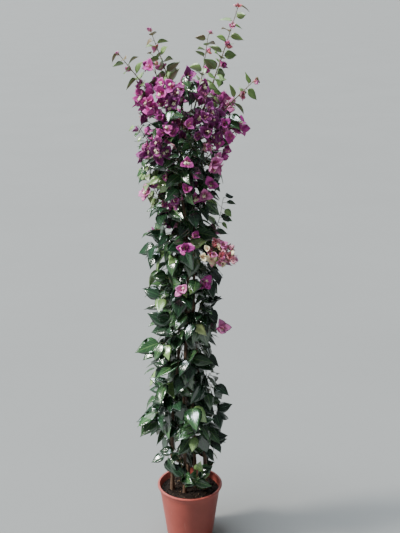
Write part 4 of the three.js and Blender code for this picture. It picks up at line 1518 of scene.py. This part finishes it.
class Finish:
    """A material's nodes, with short calls for those that these finishes share."""

    def __init__(self, name, **constants):
        self.material = bpy.data.materials.new(name)
        self.material.use_nodes = True
        self.nodes = self.material.node_tree.nodes
        self.shader = next(node for node in self.nodes if node.type == "BSDF_PRINCIPLED")
        for socket, value in constants.items():
            self.shader.inputs[socket.replace("_", " ")].default_value = value

    def node(self, kind, **settings):
        made = self.nodes.new(kind)
        for name, value in settings.items():
            setattr(made, name, value)
        return made

    def link(self, source, target):
        self.material.node_tree.links.new(source, target)

    def drive(self, **sources):
        """Ties sockets of the shader, by name, to what drives them, and returns the material."""
        for socket, source in sources.items():
            self.link(source, self.shader.inputs[socket.replace("_", " ")])
        return self.material

    def place(self, kind="Object"):
        if kind == "Object":
            return self.node("ShaderNodeTexCoord").outputs["Object"]
        return self.node("ShaderNodeUVMap", uv_map="UVMap").outputs["UV"]

    def split(self, vector):
        made = self.node("ShaderNodeSeparateXYZ")
        self.link(vector, made.inputs[0])
        return made.outputs

    def scaled(self, vector, scale):
        mapping = self.node("ShaderNodeMapping")
        mapping.inputs["Scale"].default_value = scale
        self.link(vector, mapping.inputs["Vector"])
        return mapping.outputs["Vector"]

    def noise(self, vector, scale, detail=3.0, roughness=0.55):
        made = self.node("ShaderNodeTexNoise")
        made.inputs["Scale"].default_value = scale
        made.inputs["Detail"].default_value = detail
        made.inputs["Roughness"].default_value = roughness
        self.link(vector, made.inputs["Vector"])
        return made.outputs["Fac"]

    def math(self, operation, first, second=None):
        made = self.node("ShaderNodeMath", operation=operation)
        for socket, value in zip(made.inputs, (first, second)):
            if isinstance(value, (int, float)):
                socket.default_value = value
            elif value is not None:
                self.link(value, socket)
        return made.outputs[0]

    def ranged(self, value, from_low, from_high, to_low, to_high, smooth=False):
        made = self.node("ShaderNodeMapRange")
        if smooth:
            made.interpolation_type = "SMOOTHSTEP"
        for socket, number in zip(made.inputs[1:5], (from_low, from_high, to_low, to_high)):
            socket.default_value = number
        self.link(value, made.inputs[0])
        return made.outputs[0]

    def mixed(self, factor, first, second):
        made = self.node("ShaderNodeMix", data_type="RGBA")
        self.link(factor, made.inputs["Factor"])
        for socket, value in ((made.inputs[6], first), (made.inputs[7], second)):
            if isinstance(value, bpy.types.NodeSocket):
                self.link(value, socket)
            else:
                socket.default_value = (*value, 1)
        return made.outputs[2]

    def two_tone(self, pattern, low, high, colour, dark, bright):
        """A colour that goes from a darker to a brighter tone as a pattern goes from low to high."""
        return self.mixed(self.ranged(pattern, low, high, 0, 1), tone(colour, dark), tone(colour, bright))

    def veins(self, blade, midrib, rows, slant, side, weight):
        """A blade's midrib and slanting side veins, by its own UV: 1 on the midrib, 0 between."""
        off_middle = self.math("ABSOLUTE", self.math("SUBTRACT", blade["Y"], 0.5))
        middle = self.ranged(off_middle, *midrib, 1, 0, smooth=True)
        steps = self.math("MULTIPLY", blade["X"], rows)
        steps = self.math("SUBTRACT", steps, self.math("MULTIPLY", off_middle, slant))
        off_vein = self.math("ABSOLUTE", self.math("SUBTRACT", self.math("FRACT", steps), 0.5))
        sides = self.ranged(off_vein, *side, 1, 0, smooth=True)
        return self.math("MAXIMUM", middle, self.math("MULTIPLY", sides, weight))

    def bump(self, height, strength, distance, after=None):
        made = self.node("ShaderNodeBump")
        made.inputs["Strength"].default_value = strength
        made.inputs["Distance"].default_value = distance
        self.link(height, made.inputs["Height"])
        if after is not None:
            self.link(after, made.inputs["Normal"])
        return made.outputs["Normal"]


def pot_finish(settings):
    """Satin terracotta-coloured plastic, with a little dust and lime and a fine mould grain."""
    finish = Finish("pot_plastic", IOR=1.47)
    place = finish.place()
    broad = finish.noise(place, 14, 4)
    fine = finish.noise(place, 900, 2)
    streaks = finish.noise(finish.scaled(place, (60, 60, 9)), 1.0, 5)
    colour = finish.two_tone(broad, 0.3, 0.7, settings.colour, 0.86, 1.1)
    dust = finish.ranged(streaks, 0.60, 0.82, 0, 0.35, smooth=True)
    colour = finish.mixed(dust, colour, DUST_COLOUR)
    splash = finish.ranged(finish.split(place)["Z"], 0.0, 0.035, 0.4, 0, smooth=True)
    splash = finish.math("MULTIPLY", splash, finish.ranged(streaks, 0.35, 0.7, 0, 1))
    colour = finish.mixed(splash, colour, SPLASH_COLOUR)
    return finish.drive(
        Base_Color=colour,
        Roughness=finish.math("ADD", finish.ranged(streaks, 0.3, 0.8, -0.05, 0.16), settings.roughness),
        Normal=finish.bump(broad, 0.2, 0.002, finish.bump(fine, 0.25, 0.0002)),
    )


def peat_finish(name, colour):
    """Dark peat or pale chips, with damp and dry patches and a crumbly grain."""
    finish = Finish(name, Specular_IOR_Level=0.2)
    place = finish.place()
    broad = finish.noise(place, 60, 5)
    fine = finish.noise(place, 700, 4, 0.7)
    mixed = finish.two_tone(broad, 0.35, 0.68, colour, 0.55, 1.6)
    mixed = finish.mixed(finish.ranged(fine, 0.58, 0.75, 0, 0.7), mixed, tone(colour, 3.2))
    return finish.drive(
        Base_Color=mixed,
        Roughness=finish.ranged(broad, 0.3, 0.7, 0.6, 0.95),
        Normal=finish.bump(fine, 0.8, 0.0012),
    )


def bark_finish(name, colour, ridge, mottle):
    """Bark with fine lengthwise ridges by the piece's UV, and grey and green patches."""
    finish = Finish(name)
    place = finish.place()
    ridges = finish.noise(finish.scaled(finish.place("UV"), (26, 95, 1)), 1.0, 5, 0.6)
    patches = finish.noise(place, 55, 4)
    specks = finish.noise(place, 520, 3)
    mixed = finish.two_tone(ridges, 0.32, 0.68, colour, 0.45, 1.25)
    mixed = finish.mixed(finish.ranged(patches, 0.48, 0.66, 0, 0.75), mixed, mottle)
    mixed = finish.mixed(finish.ranged(specks, 0.64, 0.74, 0, 0.5), mixed, tone(colour, 2.1))
    return finish.drive(
        Base_Color=mixed,
        Roughness=finish.ranged(ridges, 0.3, 0.7, 0.9, 0.62),
        Normal=finish.bump(ridges, ridge, 0.0012, finish.bump(specks, 0.3, 0.0005)),
    )


def leaf_finish(name, colour, roughness, vein_tone):
    """A waxy leaf: its midrib and side veins by its own UV, and a soft change of tone over the plant."""
    finish = Finish(name, IOR=1.62, Specular_IOR_Level=1.0)
    blade = finish.split(finish.place("UV"))
    veins = finish.veins(blade, (0.012, 0.045), 8.0, 5.2, (0.03, 0.13), 0.55)
    place = finish.place()
    patches = finish.noise(place, 42, 4)
    fine = finish.noise(place, 340, 3)
    mixed = finish.two_tone(patches, 0.3, 0.7, colour, 0.72, 1.3)
    height = finish.math("SUBTRACT", finish.math("MULTIPLY", fine, 0.10), veins)
    return finish.drive(
        Base_Color=finish.mixed(finish.math("MULTIPLY", veins, 0.55), mixed, vein_tone),
        Roughness=finish.math("ADD", finish.ranged(fine, 0.3, 0.7, -0.05, 0.08), roughness),
        Normal=finish.bump(height, 0.20, 0.0005),
    )


def bract_finish(name, colour, vein):
    """A papery bract with a net of fine veins, paler towards its foot."""
    finish = Finish(name, Sheen_Weight=0.25, Sheen_Roughness=0.45)
    blade = finish.split(finish.place("UV"))
    veins = finish.veins(blade, (0.01, 0.05), 6.0, 6.5, (0.02, 0.12), 0.7)
    place = finish.place()
    patches = finish.noise(place, 60, 3)
    crumple = finish.noise(place, 260, 3)
    mixed = finish.two_tone(patches, 0.3, 0.7, colour, 0.8, 1.2)
    mixed = finish.mixed(finish.math("MULTIPLY", veins, 0.5), mixed, vein)
    foot = finish.ranged(blade["X"], 0.0, 0.3, 0.5, 0, smooth=True)
    height = finish.math("ADD", finish.math("MULTIPLY", crumple, 0.6), veins)
    return finish.drive(
        Base_Color=finish.mixed(foot, mixed, BRACT_FOOT_COLOUR),
        Roughness=finish.ranged(crumple, 0.3, 0.7, 0.48, 0.68),
        Normal=finish.bump(height, 0.6, 0.0006),
    )


def soft_finish(name, colour, roughness):
    """A small soft part, such as a stalk or a star flower, with a fine change of tone."""
    finish = Finish(name)
    patches = finish.noise(finish.place(), 150, 3)
    return finish.drive(
        Base_Color=finish.two_tone(patches, 0.35, 0.65, colour, 0.75, 1.15),
        Roughness=finish.ranged(patches, 0.3, 0.7, roughness - 0.08, roughness + 0.1),
        Normal=finish.bump(patches, 0.3, 0.0004),
    )


def floor_finish(settings):
    finish = Finish("floor", Roughness=0.85)
    patches = finish.noise(finish.place(), 1.2, 4)
    return finish.drive(Base_Color=finish.two_tone(patches, 0.3, 0.7, settings.floor, 0.97, 1.02))


# Pieces


def turned_piece(sides, profile):
    """A closed round piece: a flat face, carried on through (radius, z) rings about the axis."""
    start_clean()
    radius, z = profile[0]
    bpy.ops.mesh.primitive_circle_add(
        vertices=sides, radius=radius, fill_type="NGON", location=(0, 0, z)
    )
    bpy.ops.object.mode_set(mode="EDIT")
    bpy.ops.mesh.select_all(action="SELECT")
    for next_radius, next_z in profile[1:]:
        bpy.ops.mesh.extrude_region_move(TRANSFORM_OT_translate={"value": (0, 0, next_z - z)})
        share = next_radius / radius
        bpy.ops.transform.resize(value=(share, share, 1), center_override=(0, 0, next_z))
        radius, z = next_radius, next_z
    bpy.ops.mesh.select_all(action="SELECT")
    bpy.ops.mesh.normals_make_consistent(inside=False)
    bpy.ops.object.mode_set(mode="OBJECT")
    return bpy.context.object


def pot_radius_at(z):
    return mix(POT_FOOT_RADIUS, POT_WALL_TOP_RADIUS, z / POT_HEIGHT)


def inside_pot_at(z):
    return pot_radius_at(z) - POT_WALL


def edge(radius, z, steps):
    """The rings of a rounded edge, from its sharp corner and the steps from there."""
    return [(radius + outward, z + rise) for outward, rise in steps]


class BOUGAINVILLEA_OT_pot(bpy.types.Operator):
    """Adds the round nursery pot with its collar, lip and drain holes"""

    bl_idname = "bougainvillea.pot"
    bl_label = "Pot"

    def execute(self, context):
        settings = context.scene.bougainvillea_pot
        collar_foot = POT_HEIGHT - POT_COLLAR_HEIGHT
        lip_foot = POT_HEIGHT - POT_LIP_HEIGHT
        wall = np.linspace(POT_FOOT_CHAMFER, collar_foot, POT_WALL_RINGS)
        floor_edge = POT_FLOOR + FLOOR_EDGE
        profile = [
            *edge(POT_FOOT_RADIUS, 0, FOOT_EDGE),
            *[(pot_radius_at(z), z) for z in wall],
            *edge(pot_radius_at(collar_foot), collar_foot, COLLAR_FOOT_EDGE),
            *edge(pot_radius_at(lip_foot) + POT_COLLAR_STEP, lip_foot, COLLAR_TOP_EDGE),
            *edge(POT_LIP_RADIUS, lip_foot, LIP_UNDER_EDGE),
            *edge(POT_LIP_RADIUS, POT_HEIGHT, LIP_OUTER_EDGE),
            *edge(inside_pot_at(POT_HEIGHT), POT_HEIGHT, LIP_INNER_EDGE),
            (inside_pot_at(POT_MIDDLE), POT_MIDDLE),
            (inside_pot_at(floor_edge), floor_edge),
            (inside_pot_at(POT_FLOOR) - FLOOR_EDGE, POT_FLOOR),
        ]
        piece = turned_piece(settings.segments, profile)
        for i in range(DRAIN_COUNT):
            self.cut_drain(context, piece, i * FULL_TURN / DRAIN_COUNT)
        smooth(piece, POT_SMOOTHING)
        finish_piece(piece, "pot_shell", pot_finish(settings), "pot", "pot")
        return {"FINISHED"}

    def cut_drain(self, context, piece, bearing):
        place = (DRAIN_CIRCLE * math.cos(bearing), DRAIN_CIRCLE * math.sin(bearing), 0)
        bpy.ops.mesh.primitive_cylinder_add(
            vertices=DRAIN_SIDES, radius=DRAIN_RADIUS, depth=DRAIN_DEPTH, location=place
        )
        cutter = context.object
        modifier = piece.modifiers.new("drain", "BOOLEAN")
        modifier.operation = "DIFFERENCE"
        modifier.object = cutter
        modifier.solver = "EXACT"
        start_clean()
        context.view_layer.objects.active = piece
        bpy.ops.object.modifier_apply(modifier=modifier.name)
        bpy.data.objects.remove(cutter)


def peat_radius_at(z):
    return inside_pot_at(z) - SOIL_CLEARANCE


def soil_lift(x, y):
    """Lumps of the peat's surface, broad and fine."""
    broad = noise.noise(Vector((x * BROAD_LUMPS, y * BROAD_LUMPS, 3)))
    fine = noise.fractal(Vector((x * FINE_LUMPS, y * FINE_LUMPS, 7)), 1.0, 2.0, 4)
    return broad * BROAD_LIFT + fine * FINE_LIFT


def soil_height(x, y, relief):
    """The peat's surface, with lumps that die away and a slight drop towards the pot's wall."""
    radius = math.hypot(x, y)
    rim = peat_radius_at(SOIL_TOP)
    drop = SOIL_EDGE_DROP * smoothstep(radius, SOIL_LEVEL_RADIUS, rim)
    fade = 1 - WALL_FADE * smoothstep(radius, rim - WALL_FADE_WIDTH, rim)
    return SOIL_TOP - drop + soil_lift(x, y) * relief * fade


class BOUGAINVILLEA_OT_soil(bpy.types.Operator):
    """Adds the peat that fills the pot, with its crumbs and pale fibres"""

    bl_idname = "bougainvillea.soil"
    bl_label = "Soil"

    def execute(self, context):
        settings = context.scene.bougainvillea_soil
        top = SOIL_TOP - SOIL_EDGE_DROP
        profile = [(peat_radius_at(z), z) for z in (SOIL_FOOT, POT_MIDDLE, top)]
        for i in range(1, SOIL_RINGS):
            profile.append((peat_radius_at(top) * (1 - i / SOIL_RINGS) + SOIL_CENTRE_RADIUS, top))
        piece = turned_piece(SOIL_SIDES, profile)
        base = piece.location.z
        for vertex in piece.data.vertices:
            x, y, z = vertex.co
            if base + z > top - SOIL_TOP_MARGIN:
                vertex.co.z = soil_height(x, y, settings.relief) - base
        smooth(piece, SOIL_SMOOTHING)
        finish_piece(piece, "peat", peat_finish("peat", settings.colour), "soil", "soil")
        self.add_crumbs(settings)
        self.add_fibres(settings)
        return {"FINISHED"}

    def spot(self, settings, i, key, lift):
        """A place on the peat between the pot's wall and the stems."""
        bearing = i * GOLDEN
        radius = (pot_radius_at(SOIL_TOP) - WALL_FADE_WIDTH) * math.sqrt(pick(i, key, 1))
        x = radius * math.cos(bearing)
        y = radius * math.sin(bearing)
        return x, y, soil_height(x, y, settings.relief) + lift

    def add_crumbs(self, settings):
        """Lumps of peat: one small ball of twenty faces, copied at many sizes and turned all ways."""
        start_clean()
        bpy.ops.mesh.primitive_ico_sphere_add(subdivisions=1, radius=1)
        ball = bpy.context.object
        points = np.array([tuple(vertex.co) for vertex in ball.data.vertices])
        faces = [tuple(polygon.vertices) for polygon in ball.data.polygons]
        bpy.data.objects.remove(ball)
        crumbs = Joined()
        for i in range(settings.crumbs):
            size = mix(*CRUMB_SIZE, pick(i, 5, 2) ** 2.2)
            place = self.spot(settings, i, 3, size * CRUMB_LIFT)
            turn = Matrix.Rotation(between(ANY_TURN, i, 7, 3), 3, "Z")
            turn = turn @ Matrix.Rotation(3 * pick(i, 8, 3), 3, "X")
            stretched = points * (np.array(CRUMB_STRETCH) * size)
            crumbs.add(stretched @ np.array(turn).T + np.array(place), faces)
        crumbs.finish("peat_crumbs", peat_finish("crumbs", tone(settings.colour, CRUMB_TONE)), "soil")

    def add_fibres(self, settings):
        """Pale chips and fibres that lie on the peat."""
        fibres = Joined()
        for i in range(settings.fibres):
            start = Vector(self.spot(settings, i, 11, FIBRE_LIFT))
            length = mix(*FIBRE_LENGTH, pick(i, 12, 1) ** 2)
            turn = between(ANY_TURN, i, 13, 1)
            end = start + Vector((math.cos(turn), math.sin(turn), between(FIBRE_RISE, i, 14, 1))) * length
            path = Path([start, (start + end) / 2 + UP * FIBRE_BOW, end], 3)
            radius = between(FIBRE_RADIUS, i, 15, 1)
            fibres.add_tube(path, tapered((radius * 1.1, radius * 0.6)), 4, 3)
        fibres.finish("peat_fibres", peat_finish("fibres", FIBRE_COLOUR), "soil")


def bark_piece(limb, relief, sides, step):
    """A limb as a bevelled curve made mesh, with ridges, knots and small scars worked into it."""
    start_clean()
    rings = max(8, int(limb.path.length / step))
    bpy.ops.curve.primitive_nurbs_path_add()
    curve = bpy.context.object
    curve.data.splines.clear()
    spline = curve.data.splines.new("POLY")
    spline.points.add(rings)
    for i, point in enumerate(spline.points):
        share = i / rings
        point.co = (*limb.path.at(share), 1)
        point.radius = limb.radius_at(share)
    curve.data.dimensions = "3D"
    curve.data.bevel_depth = 1.0
    curve.data.bevel_resolution = (sides - 4) // 2
    curve.data.use_fill_caps = True
    bpy.ops.object.convert(target="MESH")
    piece = bpy.context.object
    bpy.ops.object.mode_set(mode="EDIT")
    bpy.ops.mesh.select_all(action="SELECT")
    bpy.ops.mesh.remove_doubles(threshold=1e-6)
    bpy.ops.mesh.normals_make_consistent(inside=False)
    bpy.ops.object.mode_set(mode="OBJECT")
    work_bark(piece, limb, relief)
    smooth(piece, BARK_SMOOTHING)
    return piece


def bark_lift(angle, distance, relief):
    """The bark's relief as a share of the radius: ridges that run along the limb, and a ring of knots."""
    across = RIDGES_ROUND * math.cos(angle)
    ahead = RIDGES_ROUND * math.sin(angle)
    place = Vector((across, ahead, distance * RIDGES_ALONG))
    ridge = noise.noise(place) + 0.5 * noise.noise(place * FINER_RIDGES)
    knot = max(0, math.cos(distance * FULL_TURN / KNOT_STEP + 2 * math.cos(angle))) ** KNOT_SHARPNESS
    return relief * ridge + KNOT_RELIEF * knot


def work_bark(piece, limb, relief):
    """Moves each point of a limb in or out by the bark's relief, and gives it a UV."""
    mesh = piece.data
    points = np.array([tuple(vertex.co) for vertex in mesh.vertices])
    steps = max(16, int(limb.path.length / BARK_SAMPLE_STEP))
    centres = np.array([tuple(limb.path.at(i / steps)) for i in range(steps + 1)])
    uvs = np.zeros((len(points), 2))
    for number, point in enumerate(points):
        nearest = int(np.argmin(np.linalg.norm(centres - point, axis=1)))
        radial = point - centres[nearest]
        distance = nearest / steps * limb.path.length
        angle = math.atan2(radial[1], radial[0])
        radius = float(np.linalg.norm(radial))
        if radius < 1e-5:
            continue
        points[number] = point + radial / radius * (radius * bark_lift(angle, distance, relief))
        uvs[number] = (angle / FULL_TURN + 0.5, distance)
    mesh.vertices.foreach_set("co", points.astype(np.float32).ravel())
    write_uvs(mesh, uvs)
    mesh.update()


class BOUGAINVILLEA_OT_stems(bpy.types.Operator):
    """Adds the five stems and the bare lower parts of the long shoots, with their bark"""

    bl_idname = "bougainvillea.stems"
    bl_label = "Stems and boughs"

    def execute(self, context):
        settings = context.scene.bougainvillea_bark
        growth = plan()
        old_bark = bark_finish("old_bark", settings.colour, 0.9, tone(settings.shoot, 0.7))
        young_bark = bark_finish("young_bark", settings.shoot, 0.5, settings.green)
        for limb in growth.stems:
            piece = bark_piece(limb, settings.relief, 16, STEM_RING_STEP)
            finish_piece(piece, f"{limb.name}_bark", old_bark, "bark", limb.name)
        for limb in growth.boughs:
            piece = bark_piece(limb, settings.relief * 0.5, 10, BOUGH_RING_STEP)
            finish_piece(piece, f"{limb.name}_bark", young_bark, "bark", limb.name)
        return {"FINISHED"}


class BOUGAINVILLEA_OT_twigs(bpy.types.Operator):
    """Adds the twigs, the fine twigs, the shoots' stalks and the thorns"""

    bl_idname = "bougainvillea.twigs"
    bl_label = "Twigs"

    def execute(self, context):
        settings = context.scene.bougainvillea_bark
        growth = plan()
        twigs = Joined()
        for limb in growth.twigs:
            rings = max(4, int(limb.path.length / TWIG_RING_STEP))
            twigs.add_tube(limb.path, limb.radius_at, 6, rings)
        for limb in growth.fine_twigs:
            twigs.add_tube(limb.path, limb.radius_at, 5, 4)
        bark = bark_finish("twig_bark", settings.green, 0.5, tone(settings.colour, 0.9))
        twigs.finish("twigs", bark, "bark")
        stalks = Joined()
        for limb in growth.stalks:
            rings = max(8, int(limb.path.length / STALK_RING_STEP))
            stalks.add_tube(limb.path, limb.radius_at, 7, rings)
        bark = bark_finish("shoot_bark", settings.shoot, 0.4, settings.green)
        stalks.finish("shoot_stalks", bark, "bark")
        self.add_thorns(settings, growth)
        return {"FINISHED"}

    def add_thorns(self, settings, growth):
        """Straight thorns, one at each step of the knots along the stems and boughs."""
        thorns = Joined()
        for key, limb in enumerate([*growth.stems, *growth.boughs]):
            count = int(limb.path.length / KNOT_STEP)
            for i in range(2, count):
                share = i / count
                way = limb.path.way(share)
                out = way.orthogonal().normalized()
                out.rotate(Matrix.Rotation(i * GOLDEN + key, 3, way))
                root = limb.path.at(share) + out * limb.radius_at(share) * THORN_ROOT
                tip = root + (out + way * THORN_SLANT).normalized() * between(THORN_LENGTH, key, i, 3)
                thorns.add_tube(Path([root, (root + tip) / 2, tip], 2), tapered(THORN_RADII), 5, 3)
        wood = bark_finish("thorn_wood", tone(settings.colour, 0.8), 0.3, settings.shoot)
        thorns.finish("thorns", wood, "bark")


def mass_names(*words):
    return [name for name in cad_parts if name.startswith(words)]


class BOUGAINVILLEA_OT_leaves(bpy.types.Operator):
    """Adds the leaves, dealt out by spray to pieces of one colour each, and their stalks"""

    bl_idname = "bougainvillea.leaves"
    bl_label = "Leaves"

    def execute(self, context):
        settings = context.scene.bougainvillea_leaves
        faces = blade_faces(len(LEAF_OUTLINE))
        pieces = {tint: Joined() for tint in LEAF_FINISHES}
        stalks = Joined()
        for leaf in plan().leaves:
            half_width = leaf.length * settings.width / 2
            shape = (leaf.fold, leaf.curl, leaf.wave, leaf.phase)
            points, uvs = blade_points(LEAF_OUTLINE, leaf.length, half_width, LEAF_THICKNESS, *shape)
            pieces[leaf.tint].add(placed(points, leaf.base, leaf.direction, leaf.facing), faces, uvs)
            sunk = leaf.base + leaf.direction * STALK_SINK
            middle = (leaf.root + leaf.base) / 2 - UP * LEAF_STALK_BOW
            path = Path([leaf.root, middle, sunk], 3)
            stalks.add_tube(path, tapered(LEAF_STALK_RADII), 4, 4)
        nodes = {
            "dark": mass_names("leaf_mass_", "low_sprig_"),
            "young": mass_names("shoot_"),
        }
        for tint, (roughness, vein_tint, vein_tone) in LEAF_FINISHES.items():
            vein = tone(getattr(settings, vein_tint), vein_tone)
            finish = leaf_finish(f"leaf_{tint}", getattr(settings, tint), roughness, vein)
            slot = "young_leaves" if tint in ("young", "bronze") else "leaves"
            pieces[tint].finish(f"leaves_{tint}", finish, slot, *nodes.get(tint, []))
        stalks.finish("leaf_stalks", soft_finish("leaf_stalk", LEAF_STALK_COLOUR, 0.5), "leaves")
        return {"FINISHED"}


def ring_way(flower, share):
    """A way off a flower's axis, by its turn and a share of the full round."""
    return turned_off(flower.facing, flower.turn + share * FULL_TURN)


class BOUGAINVILLEA_OT_bracts(bpy.types.Operator):
    """Adds the bracts, three to a flower, dealt out by spray to pieces of one colour each"""

    bl_idname = "bougainvillea.bracts"
    bl_label = "Bracts"

    def execute(self, context):
        settings = context.scene.bougainvillea_bracts
        pieces = {tint: Joined() for tint in BRACT_FINISHES}
        for flower in plan().flowers:
            for i in range(3):
                self.add_bract(pieces[flower.tint], settings, flower, i)
        for tint, (vein_tint, vein_tone) in BRACT_FINISHES.items():
            vein = tone(getattr(settings, vein_tint), vein_tone)
            finish = bract_finish(f"bract_{tint}", getattr(settings, tint), vein)
            nodes = mass_names("bract_mass_", "crown_mass") if tint == "magenta" else []
            pieces[tint].finish(f"bracts_{tint}", finish, "bracts", *nodes)
        return {"FINISHED"}

    def add_bract(self, joined, settings, flower, number):
        key, slot = flower.key
        opening = between(BRACT_OPENING, key, slot, 51 + number)
        radial = ring_way(flower, number / 3)
        direction = (flower.facing * math.cos(opening) + radial * math.sin(opening)).normalized()
        inner = (flower.facing * math.sin(opening) - radial * math.cos(opening)).normalized()
        length = settings.length * flower.size * between(BRACT_LENGTHS, key, slot, 54 + number)
        points, uvs = blade_points(
            BRACT_OUTLINE,
            length,
            length * settings.width / 2,
            BRACT_THICKNESS,
            fold=between(BRACT_FOLD, key, slot, 57 + number),
            curl=between(BRACT_CURL, key, slot, 60 + number),
            wave=between(BRACT_WAVE, key, slot, 63 + number),
            phase=between(ANY_TURN, key, slot, 66 + number),
        )
        joined.add(placed(points, flower.base, direction, inner), blade_faces(len(BRACT_OUTLINE)), uvs)


class BOUGAINVILLEA_OT_star_flowers(bpy.types.Operator):
    """Adds the small cream star flowers and buds inside the bracts, and the flowers' stalks"""

    bl_idname = "bougainvillea.star_flowers"
    bl_label = "Star flowers"

    def execute(self, context):
        settings = context.scene.bougainvillea_bracts
        tubes = Joined()
        stars = Joined()
        stalks = Joined()
        for flower in plan().flowers:
            key, slot = flower.key
            sunk = flower.base + flower.facing * STALK_SINK
            stalk = Path([flower.root, (flower.root + flower.base) / 2, sunk], 2)
            stalks.add_tube(stalk, tapered(FLOWER_STALK_RADII), 4, 3)
            for i in range(3):
                out = ring_way(flower, i / 3)
                way = (flower.facing + out * TUBE_LEAN).normalized()
                length = TUBE_LENGTH * flower.size * between(TUBE_LENGTHS, key, slot, 71 + i)
                start = flower.base + out * TUBE_FOOT
                path = Path([start, start + way * length * 0.5 - out * TUBE_BOW, start + way * length], 2)
                tubes.add_tube(path, lambda share: mix(*FLOWER_TUBE_RADII, share**2), 5, 4)
                if flower.size > STAR_LEAST_SIZE and pick(key, slot, 74 + i) < STAR_SHARE:
                    self.add_star(stars, path.at(1), way, between(STAR_RADIUS, key, slot, 77 + i))
        stars.finish("star_flowers", soft_finish("star_petals", settings.star, 0.6), "bracts")
        tubes.finish("flower_tubes", soft_finish("flower_tube", FLOWER_TUBE_COLOUR, 0.6), "bracts")
        stalks.finish("flower_stalks", soft_finish("flower_stalk", FLOWER_STALK_COLOUR, 0.6), "bracts")
        return {"FINISHED"}

    def add_star(self, stars, place, way, radius):
        """A closed star of five lobes, a little cupped."""
        corners = STAR_LOBES * 2
        rim = []
        for i in range(corners):
            angle = i * math.pi / STAR_LOBES
            reach = radius * STAR_WAIST if i % 2 else radius
            height = STAR_WAIST_HEIGHT if i % 2 else STAR_TIP_HEIGHT
            rim.append((reach * math.cos(angle), reach * math.sin(angle), height))
        points = np.array([*rim, STAR_UPPER_MIDDLE, STAR_LOWER_MIDDLE])
        faces = []
        for i in range(corners):
            after = (i + 1) % corners
            faces.append((i, after, corners))
            faces.append((after, i, corners + 1))
        stars.add(placed(points, place, square_to(way), way), faces)


class BOUGAINVILLEA_OT_stage(bpy.types.Operator):
    """Adds the plain floor, the soft lamps and the camera"""

    bl_idname = "bougainvillea.stage"
    bl_label = "Stage"

    def execute(self, context):
        settings = context.scene.bougainvillea_stage
        start_clean()
        bpy.ops.mesh.primitive_grid_add(
            x_subdivisions=8, y_subdivisions=8, size=FLOOR_SIZE, location=(0, 0, 0)
        )
        floor = context.object
        floor.name = "floor"
        floor.data.materials.append(floor_finish(settings))
        for lamp in LAMPS:
            self.add_lamp(lamp, settings)
        self.light_world(context, settings)
        self.add_camera(context, settings)
        return {"FINISHED"}

    def add_lamp(self, spec, settings):
        """A wide soft light from the side of a place, even over the whole floor."""
        start_clean()
        bpy.ops.object.light_add(type="SUN", location=spec.place)
        lamp = bpy.context.object
        lamp.name = spec.name
        lamp.data.energy = spec.strength * settings.light
        lamp.data.angle = math.radians(spec.spread)
        lamp.data.color = spec.colour
        lamp.rotation_euler = (-Vector(spec.place)).to_track_quat("-Z", "Y").to_euler()

    def light_world(self, context, settings):
        world = context.scene.world or bpy.data.worlds.new("studio")
        context.scene.world = world
        world.use_nodes = True
        background = world.node_tree.nodes["Background"]
        background.inputs["Color"].default_value = WORLD_COLOUR
        background.inputs["Strength"].default_value = WORLD_STRENGTH * settings.light

    def add_camera(self, context, settings):
        start_clean()
        turn = (math.pi / 2 - settings.camera_pitch, 0, -settings.camera_yaw)
        place = (0, -settings.camera_distance, settings.camera_height)
        bpy.ops.object.camera_add(location=place, rotation=turn)
        camera = context.object
        camera.name = "camera"
        camera.data.lens = settings.camera_lens
        camera.data.sensor_width = 36
        camera.data.sensor_fit = "AUTO"
        context.scene.camera = camera


class BOUGAINVILLEA_PT_panel(bpy.types.Panel):
    """Sizes and colours of the plant, and a button for each of its pieces"""

    bl_idname = "BOUGAINVILLEA_PT_panel"
    bl_label = "Potted bougainvillea"
    bl_space_type = "VIEW_3D"
    bl_region_type = "UI"
    bl_category = "Bougainvillea"

    def draw(self, context):
        for operator, group in STEPS:
            box = self.layout.box()
            box.operator(operator.bl_idname, text=operator.bl_label)
            settings = getattr(context.scene, group)
            for name in settings.__annotations__:
                box.prop(settings, name)


STEPS = [
    (BOUGAINVILLEA_OT_pot, "bougainvillea_pot"),
    (BOUGAINVILLEA_OT_soil, "bougainvillea_soil"),
    (BOUGAINVILLEA_OT_stems, "bougainvillea_bark"),
    (BOUGAINVILLEA_OT_twigs, "bougainvillea_bark"),
    (BOUGAINVILLEA_OT_leaves, "bougainvillea_leaves"),
    (BOUGAINVILLEA_OT_bracts, "bougainvillea_bracts"),
    (BOUGAINVILLEA_OT_star_flowers, "bougainvillea_bracts"),
    (BOUGAINVILLEA_OT_stage, "bougainvillea_stage"),
]

GROUPS = {
    "bougainvillea_pot": PotSettings,
    "bougainvillea_soil": SoilSettings,
    "bougainvillea_bark": BarkSettings,
    "bougainvillea_leaves": LeafSettings,
    "bougainvillea_bracts": BractSettings,
    "bougainvillea_stage": StageSettings,
}


def register():
    for group in GROUPS.values():
        bpy.utils.register_class(group)
    for operator, _ in STEPS:
        bpy.utils.register_class(operator)
    bpy.utils.register_class(BOUGAINVILLEA_PT_panel)
    for name, group in GROUPS.items():
        setattr(bpy.types.Scene, name, bpy.props.PointerProperty(type=group))


def unregister():
    for name in GROUPS:
        delattr(bpy.types.Scene, name)
    bpy.utils.unregister_class(BOUGAINVILLEA_PT_panel)
    for operator, _ in reversed(STEPS):
        bpy.utils.unregister_class(operator)
    for group in GROUPS.values():
        bpy.utils.unregister_class(group)


def main():
    register()
    bpy.ops.bougainvillea.pot()
    bpy.ops.bougainvillea.soil()
    bpy.ops.bougainvillea.stems()
    bpy.ops.bougainvillea.twigs()
    bpy.ops.bougainvillea.leaves()
    bpy.ops.bougainvillea.bracts()
    bpy.ops.bougainvillea.star_flowers()
    bpy.ops.bougainvillea.stage()


if __name__ == "__main__":
    main()
